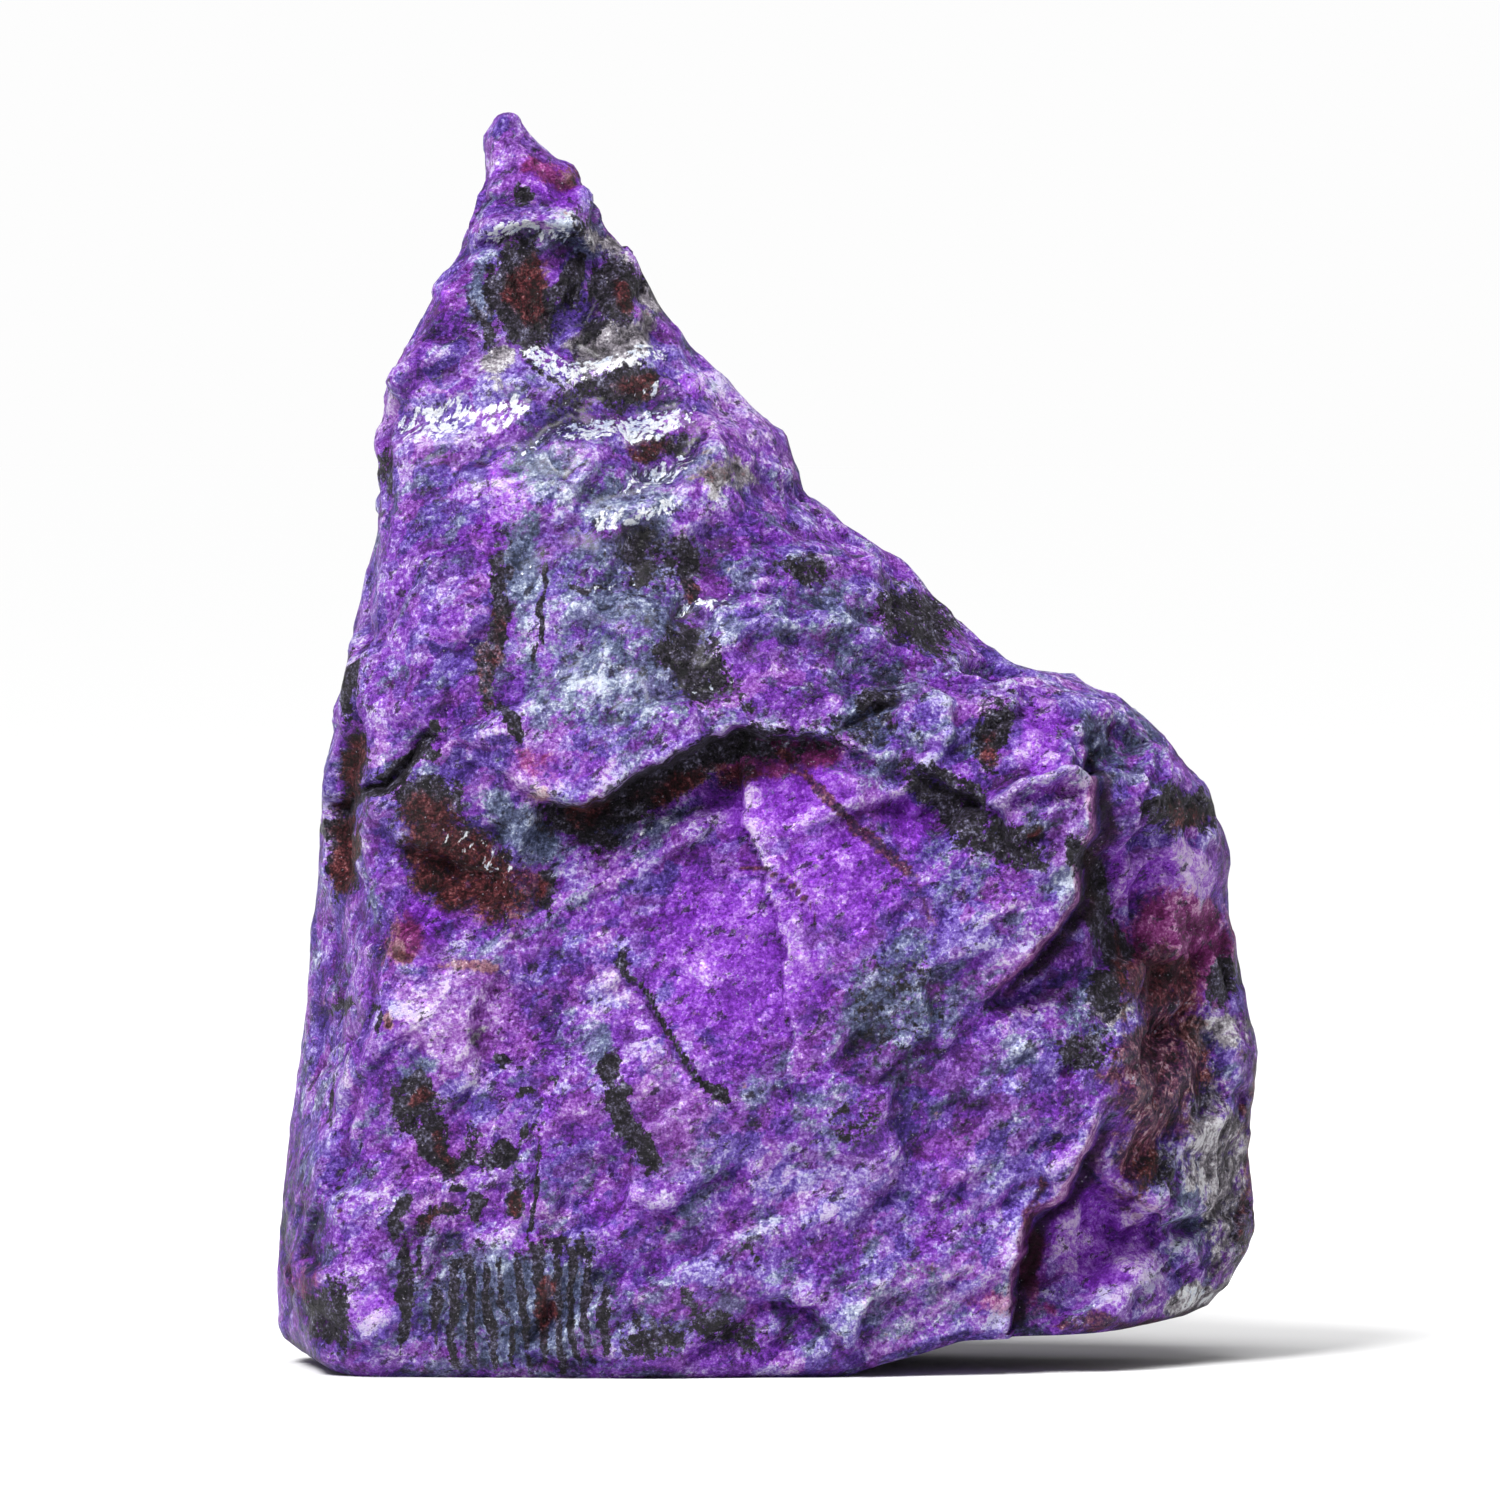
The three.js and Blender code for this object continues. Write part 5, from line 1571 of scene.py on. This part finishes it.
def tone_of_grain():
    """How pale each grain is: the paint of pale and deep places, painted light and shade from the relief, the
    shards and the noises.
    """
    # Crest and shape paint light on what stands out and shade in pits.
    painted_tone = weighed({"lilac": 0.22, "deep": -0.2, "crest": 0.15, "shape": 0.1})
    clean = total(1.0, weighed({"rose": -0.5, "lilac": -0.3}))
    mottle = times(clean, total(swing(MOTTLE, 0.42), swing(GRAIN, 1.1)))
    grains = total(swing(CLOUDS, 0.5), mottle, swing(FINE, 0.7), swing(CRYSTAL, 0.2))
    pieces = total(swing(LARGE_SHARDS[0], 0.2), swing(SMALL_SHARDS[0], 0.22))
    fan_tone = times(layer("fan"), swing(FIBRES, 1.6))
    return total(TONE_MIDDLE, painted_tone, grains, pieces, fan_tone)


def tone_of_ore():
    """How pale each grain of ore or rust is, streaked by fibres in the fan."""
    fan_tone = times(layer("fan"), total(0.13, swing(FIBRES, 1.9)))
    return total(ORE_MIDDLE, swing(GRAIN, 1.2), swing(FINE, 1.0), swing(MOTTLE, 1.2), fan_tone)


TONE = tone_of_grain()
ORE_TONE = tone_of_ore()
print("and with the tones", len(TREE.nodes))

# %% [markdown]
# ## The rock's colours
# Each finish is one ramp from its darkest to its palest grain, so all of them share the grain above and
# still differ in hue. The rock itself is violet, with indigo and pink shards and rosy, magenta and
# salmon places. Slate and ash are the grey minerals in it, ink and rust the black and the red-brown ore,
# the dark red ramp the painted shade at the foot of a wall, and the bluish white ramp the painted
# highlights of the wavy shelves.

# %% Colour ramps
VIOLET = [
    (0.0, (0.010, 0.005, 0.026)), (0.2, (0.030, 0.008, 0.085)), (0.4, (0.088, 0.016, 0.225)),
    (0.55, (0.172, 0.029, 0.410)), (0.70, (0.275, 0.078, 0.565)), (0.85, (0.410, 0.215, 0.700)),
    (1.0, (0.700, 0.590, 0.910)),
]
ROSE = [
    (0.0, (0.026, 0.003, 0.054)), (0.4, (0.140, 0.014, 0.350)), (0.6, (0.275, 0.048, 0.620)),
    (0.8, (0.465, 0.190, 0.800)), (1.0, (0.780, 0.600, 0.940)),
]
PINK = [
    (0.0, (0.030, 0.005, 0.036)), (0.4, (0.165, 0.026, 0.250)), (0.6, (0.320, 0.090, 0.480)),
    (0.8, (0.520, 0.270, 0.690)), (1.0, (0.820, 0.660, 0.880)),
]
MAGENTA = [
    (0.0, (0.016, 0.001, 0.010)), (0.4, (0.095, 0.008, 0.066)), (0.6, (0.200, 0.020, 0.150)),
    (0.8, (0.370, 0.075, 0.310)), (1.0, (0.720, 0.400, 0.640)),
]
INDIGO = [
    (0.0, (0.006, 0.004, 0.020)), (0.4, (0.046, 0.020, 0.190)), (0.6, (0.120, 0.062, 0.400)),
    (0.8, (0.270, 0.200, 0.620)), (1.0, (0.620, 0.580, 0.900)),
]
SLATE = [
    (0.0, (0.006, 0.009, 0.016)), (0.35, (0.028, 0.036, 0.075)), (0.6, (0.100, 0.120, 0.240)),
    (0.8, (0.250, 0.290, 0.460)), (1.0, (0.640, 0.710, 0.840)),
]
SALMON = [
    (0.0, (0.060, 0.012, 0.030)), (0.5, (0.240, 0.085, 0.140)), (0.8, (0.480, 0.260, 0.330)),
    (1.0, (0.800, 0.620, 0.700)),
]
ASH = [
    (0.0, (0.014, 0.012, 0.014)), (0.4, (0.080, 0.070, 0.084)), (0.65, (0.230, 0.205, 0.245)),
    (0.85, (0.460, 0.420, 0.470)), (1.0, (0.800, 0.780, 0.830)),
]
# Colours of the painted highlights, bluish white.
PAINTED_HIGHLIGHT = [
    (0.0, (0.160, 0.170, 0.330)), (0.35, (0.520, 0.580, 0.820)), (0.6, (0.840, 0.890, 0.980)),
    (1.0, (0.970, 0.980, 1.000)),
]
INK = [
    (0.0, (0.002, 0.002, 0.003)), (0.3, (0.006, 0.005, 0.008)), (0.5, (0.026, 0.020, 0.032)),
    (0.66, (0.080, 0.070, 0.120)), (0.82, (0.210, 0.200, 0.310)), (1.0, (0.560, 0.550, 0.700)),
]
RUST = [
    (0.0, (0.003, 0.001, 0.001)), (0.3, (0.014, 0.003, 0.004)), (0.5, (0.056, 0.010, 0.015)),
    (0.68, (0.155, 0.034, 0.040)), (0.84, (0.300, 0.105, 0.115)), (1.0, (0.520, 0.340, 0.380)),
]
# Colours of the painted dark red shade at the foot of a wall.
WALL_SHADE_RED = [
    (0.0, (0.003, 0.001, 0.001)), (0.5, (0.016, 0.002, 0.006)), (0.8, (0.055, 0.008, 0.024)),
    (1.0, (0.200, 0.060, 0.120)),
]
print("violet runs from", VIOLET[0][1], "to", VIOLET[-1][1])

# %% [markdown]
# ## Putting the stains on
# A stain's painted number and a noise are added, and a step cuts the sum. Where the paint is strong the
# stain is solid, and where it is weak only the noise's peaks show, as specks. The colours go on in
# order: the violet and its shards, frost and slate mottling, the painted stains with the painted glow
# on the ledges' edges, the ore over them, the painted shade at the walls' feet, and last the painted
# highlights of the shelves and the single painted glints.

# %% The violet rock
FLOCK = total(swing(noise(2.2, 4, 0.65, 41), 1.6), swing(GRAIN, 0.8))
SPECK = total(swing(noise(0.9, 3, 0.7, 31), 1.3), swing(noise(0.35, 2, 0.6, 37), 1.0))
FROST = step(noise(1.1, 5, 0.7, 71), 0.57, 0.66)
# Shards that change hue: their random number, the levels of its step, the share and the colours.
HUES = [
    (LARGE_SHARDS[1], 0.55, 0.7, 0.85, INDIGO), (LARGE_SHARDS[2], 0.65, 0.8, 0.5, PINK),
    (SMALL_SHARDS[1], 0.62, 0.72, 0.6, INDIGO), (SMALL_SHARDS[2], 0.74, 0.84, 0.4, PINK),
]


def mottling():
    """Slate mottling, drawn out along the fabric: most where slate is painted, little in clean violet."""
    painted_share = weighed({"slate": 0.17, "rose": -0.16, "lilac": -0.04})
    return step(total(noise(2.6, 6, 0.72, 61, 1.8, FABRIC_TURN), painted_share), 0.535, 0.61)


base = ramp(TONE, VIOLET)
for number, low, high, share, stops in HUES:
    base = blend(times(step(number, low, high), share), base, ramp(TONE, stops))
base = blend(times(FROST, 0.15), base, ramp(total(TONE, 0.25), VIOLET))
base = blend(times(mottling(), 0.8), base, ramp(TONE, SLATE))
print("the violet rock takes", len(TREE.nodes), "nodes")

# %% The painted stains
# Name, what makes it ragged, the levels of the step, the share, the tone and the colours.
STAINS = [
    ("rose", FLOCK, 0.25, 0.75, 1.0, TONE, ROSE),
    ("pink", FLOCK, 0.25, 0.75, 0.75, TONE, PINK),
    ("slate", total(FLOCK, SPECK), 0.25, 0.75, 1.0, TONE, SLATE),
    ("ash", FLOCK, 0.3, 0.6, 1.0, total(TONE, swing(SPECK, 0.3), 0.25), ASH),
    ("magenta", FLOCK, 0.3, 0.75, 1.0, TONE, MAGENTA),
    ("salmon", FLOCK, 0.35, 0.65, 1.0, TONE, SALMON),
    # The edge: a painted magenta glow along the thin edges of the steep ledges.
    ("edge", swing(GRAIN, 0.6), 0.25, 0.7, 0.7, total(TONE, -0.03), MAGENTA),
]


def stain(name, ragged, low, high):
    """Where a stain shows: its paint plus noise, cut by a step."""
    return step(total(layer(name), ragged), low, high)


for name, ragged, low, high, share, tone, stops in STAINS:
    base = blend(times(stain(name, ragged, low, high), share), base, ramp(tone, stops))
print("and with", len(STAINS), "stains", len(TREE.nodes))

# %% Ore, painted highlight and painted glints
FLECKS = step(noise(1.0, 6, 0.75, 67, 1.8, FABRIC_TURN), 0.57, 0.61)
# Single painted glints: white specks of highlight in the colour.
GLINTS = step(noise(0.28, 2, 0.6, 97), 0.68, 0.74)
GLINT_COLOUR = (0.80, 0.76, 0.92, 1)


def ink_shows():
    """Where the ore shows: its paint, more on the ribs, less on the bare places, and noise."""
    grains = total(SPECK, swing(noise(1.8, 3, 0.6, 43), 0.8), swing(FINE, 0.5))
    fibred = times(layer("fan"), swing(FIBRES, 1.6))
    return step(total(weighed({"ink": 1.0, "ribs": 0.55, "bare": -0.9}), grains, fibred), 0.38, 0.56)


RUST_MASK = stain("rust", FLOCK, 0.3, 0.7)
ore = blend(RUST_MASK, ramp(ORE_TONE, INK), ramp(ORE_TONE, RUST))
base = blend(times(RUST_MASK, 0.88), base, ramp(ORE_TONE, RUST))
base = blend(times(FLECKS, 0.85), base, ramp(ORE_TONE, INK))
base = blend(ink_shows(), base, ore)
# The foot of the steep walls: painted dark red shade.
base = blend(times(stain("wall foot", swing(MOTTLE, 0.9), 0.25, 0.75), 0.8), base, ramp(TONE, WALL_SHADE_RED))
# Painted highlight, bluish white, broken by ripples.
PAINTED_HIGHLIGHT_MASK = stain("painted highlight", total(swing(RIPPLES, 2.4), swing(GRAIN, 0.6)), 0.8, 1.0)
base = blend(times(PAINTED_HIGHLIGHT_MASK, 0.92), base, ramp(total(TONE, 0.1), PAINTED_HIGHLIGHT))
COLOUR = blend(times(GLINTS, 0.4), base, GLINT_COLOUR)
print("the whole colour takes", len(TREE.nodes), "nodes")

# %% [markdown]
# ## Gloss and fine relief
# The broken face is satin, and its crystals each catch the light a little differently. The wavy shelves
# of the upper part are glossier and crinkled across, which a clear coat gives. Relief finer than the mesh,
# under about a third of a millimetre, is left to bump.


# %% Surface shader
BUMP_HEIGHT = 0.22  # millimetres
SATIN = 0.42  # the roughness of the plain break


def surface_bump():
    """Grain everywhere, fibres on the fan, and ripples that run up the shelves."""
    ridges = node(
        "ShaderNodeTexNoise",
        {"Vector": PLACE_MM, "Scale": 0.55, "Detail": 7.0, "Roughness": 0.75, "Offset": 1.0, "Gain": 2.0},
        noise_type="RIDGED_MULTIFRACTAL",
    )
    rippled = times(layer("crinkle"), swing(RIPPLES, 3.0))
    fibred = times(layer("fan"), swing(FIBRES, 2.0))
    height = total(swing(GRAIN, 0.8), swing(CRYSTAL, 0.2), times(ridges, 0.9), rippled, fibred)
    return node("ShaderNodeBump", {"Strength": 1.0, "Distance": BUMP_HEIGHT * MM, "Height": height})


def surface_roughness():
    """Satin, a little different for each crystal, and smoother where the shelves are wavy."""
    return total(SATIN, swing(GRAIN, 0.25), swing(CRYSTAL, 0.22), weighed({"crinkle": -0.1}))


def surface_coat():
    """A glaze on the shelves, most where the painted highlight shows."""
    return total(weighed({"crinkle": 0.3}), times(PAINTED_HIGHLIGHT_MASK, 0.5))


shader = node(
    "ShaderNodeBsdfPrincipled",
    {
        "Base Color": COLOUR,
        "Roughness": surface_roughness(),
        "IOR": 1.61,
        "Specular IOR Level": 0.18,
        "Coat Weight": surface_coat(),
        "Coat Roughness": 0.27,
        "Coat IOR": 1.6,
        "Normal": surface_bump(),
    },
)
TREE.links.new(shader, TREE.nodes.new("ShaderNodeOutputMaterial").inputs["Surface"])
STONE.data.materials.append(MATERIAL)
print("the material has", len(TREE.nodes), "nodes")

# %% [markdown]
# ## Floor and light
# A plain pale floor and soft light. The main softbox is high in front on the left, so that the ledges
# throw their shadows down to the right and the shelves of the upper part shine.

# %% Floor
FLOOR_SIZE = 8.0
FLOOR_PALENESS = 0.74


def make_floor():
    """One wide square of matt pale paper at height zero."""
    half = FLOOR_SIZE / 2
    mesh = bpy.data.meshes.new("floor")
    corners = [(-half, -half, 0), (half, -half, 0), (half, half, 0), (-half, half, 0)]
    mesh.from_pydata(corners, [], [(0, 1, 2, 3)])
    floor = bpy.data.objects.new("floor", mesh)
    bpy.context.scene.collection.objects.link(floor)
    paper = bpy.data.materials.new("pale_paper")
    paper.use_nodes = True
    surface = paper.node_tree.nodes["Principled BSDF"].inputs
    surface["Base Color"].default_value = (FLOOR_PALENESS, FLOOR_PALENESS, FLOOR_PALENESS, 1)
    surface["Roughness"].default_value = 1.0
    surface["Specular IOR Level"].default_value = 0.0
    mesh.materials.append(paper)
    floor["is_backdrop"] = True


make_floor()
print("the floor is", FLOOR_SIZE, "m wide")

# %% Lights
SUN = (-36, 46, 20, 4.4)  # azimuth from the front, elevation, angular size and strength
STRIP = (-12, 70, 0.6, 0.5, 0.2, 4.0)  # azimuth, elevation, distance, width, height and power
SKY_LIGHT = 0.32
SKY_SEEN = FLOOR_PALENESS * (SUN[3] * math.sin(math.radians(SUN[1])) / math.pi + SKY_LIGHT)


def aim(lamp, azimuth, elevation, distance):
    """Puts a lamp at an angle round the lump and turns it towards the middle of the picture."""
    side, lift = math.radians(azimuth), math.radians(elevation)
    towards = np.array([math.sin(side) * math.cos(lift), -math.cos(side) * math.cos(lift), math.sin(lift)])
    lamp.location = LOOK_AT * MM + towards * distance
    lamp.rotation_euler = (math.pi / 2 - lift, 0, side)
    bpy.context.scene.collection.objects.link(lamp)


def make_lights():
    """A large soft key from the upper left, and a small strip above that the shelves mirror."""
    azimuth, elevation, size, strength = SUN
    sun = bpy.data.lights.new("soft key", "SUN")
    sun.angle = math.radians(size)
    sun.energy = strength
    aim(bpy.data.objects.new("soft key", sun), azimuth, elevation, 2.0)
    azimuth, elevation, distance, width, height, power = STRIP
    strip = bpy.data.lights.new("strip", "AREA")
    strip.shape = "RECTANGLE"
    strip.size, strip.size_y = width, height
    strip.energy = power
    aim(bpy.data.objects.new("strip", strip), azimuth, elevation, distance)


def make_sky():
    """A soft grey sky that looks as pale as the floor."""
    sky = bpy.data.worlds.new("sky")
    sky.use_nodes = True
    nodes, links = sky.node_tree.nodes, sky.node_tree.links
    background = nodes["Background"].inputs
    background["Color"].default_value = (1, 1, 1, 1)
    seen_by_camera = nodes.new("ShaderNodeLightPath").outputs["Is Camera Ray"]
    brightness = nodes.new("ShaderNodeMapRange")
    brightness.inputs[3].default_value = SKY_LIGHT
    brightness.inputs[4].default_value = SKY_SEEN
    links.new(seen_by_camera, brightness.inputs[0])
    links.new(brightness.outputs[0], background["Strength"])
    bpy.context.scene.world = sky


make_lights()
make_sky()
bpy.context.scene.view_settings.view_transform = "Standard"
print("the sky is seen at", round(SKY_SEEN, 2), "and lights with", SKY_LIGHT)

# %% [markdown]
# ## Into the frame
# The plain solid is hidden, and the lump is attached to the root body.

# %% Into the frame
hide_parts("rough_sugilite")
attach(STONE, "root")
low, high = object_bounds()
print("visual size", [round((b - a) / MM, 1) for a, b in zip(low, high)], "mm")
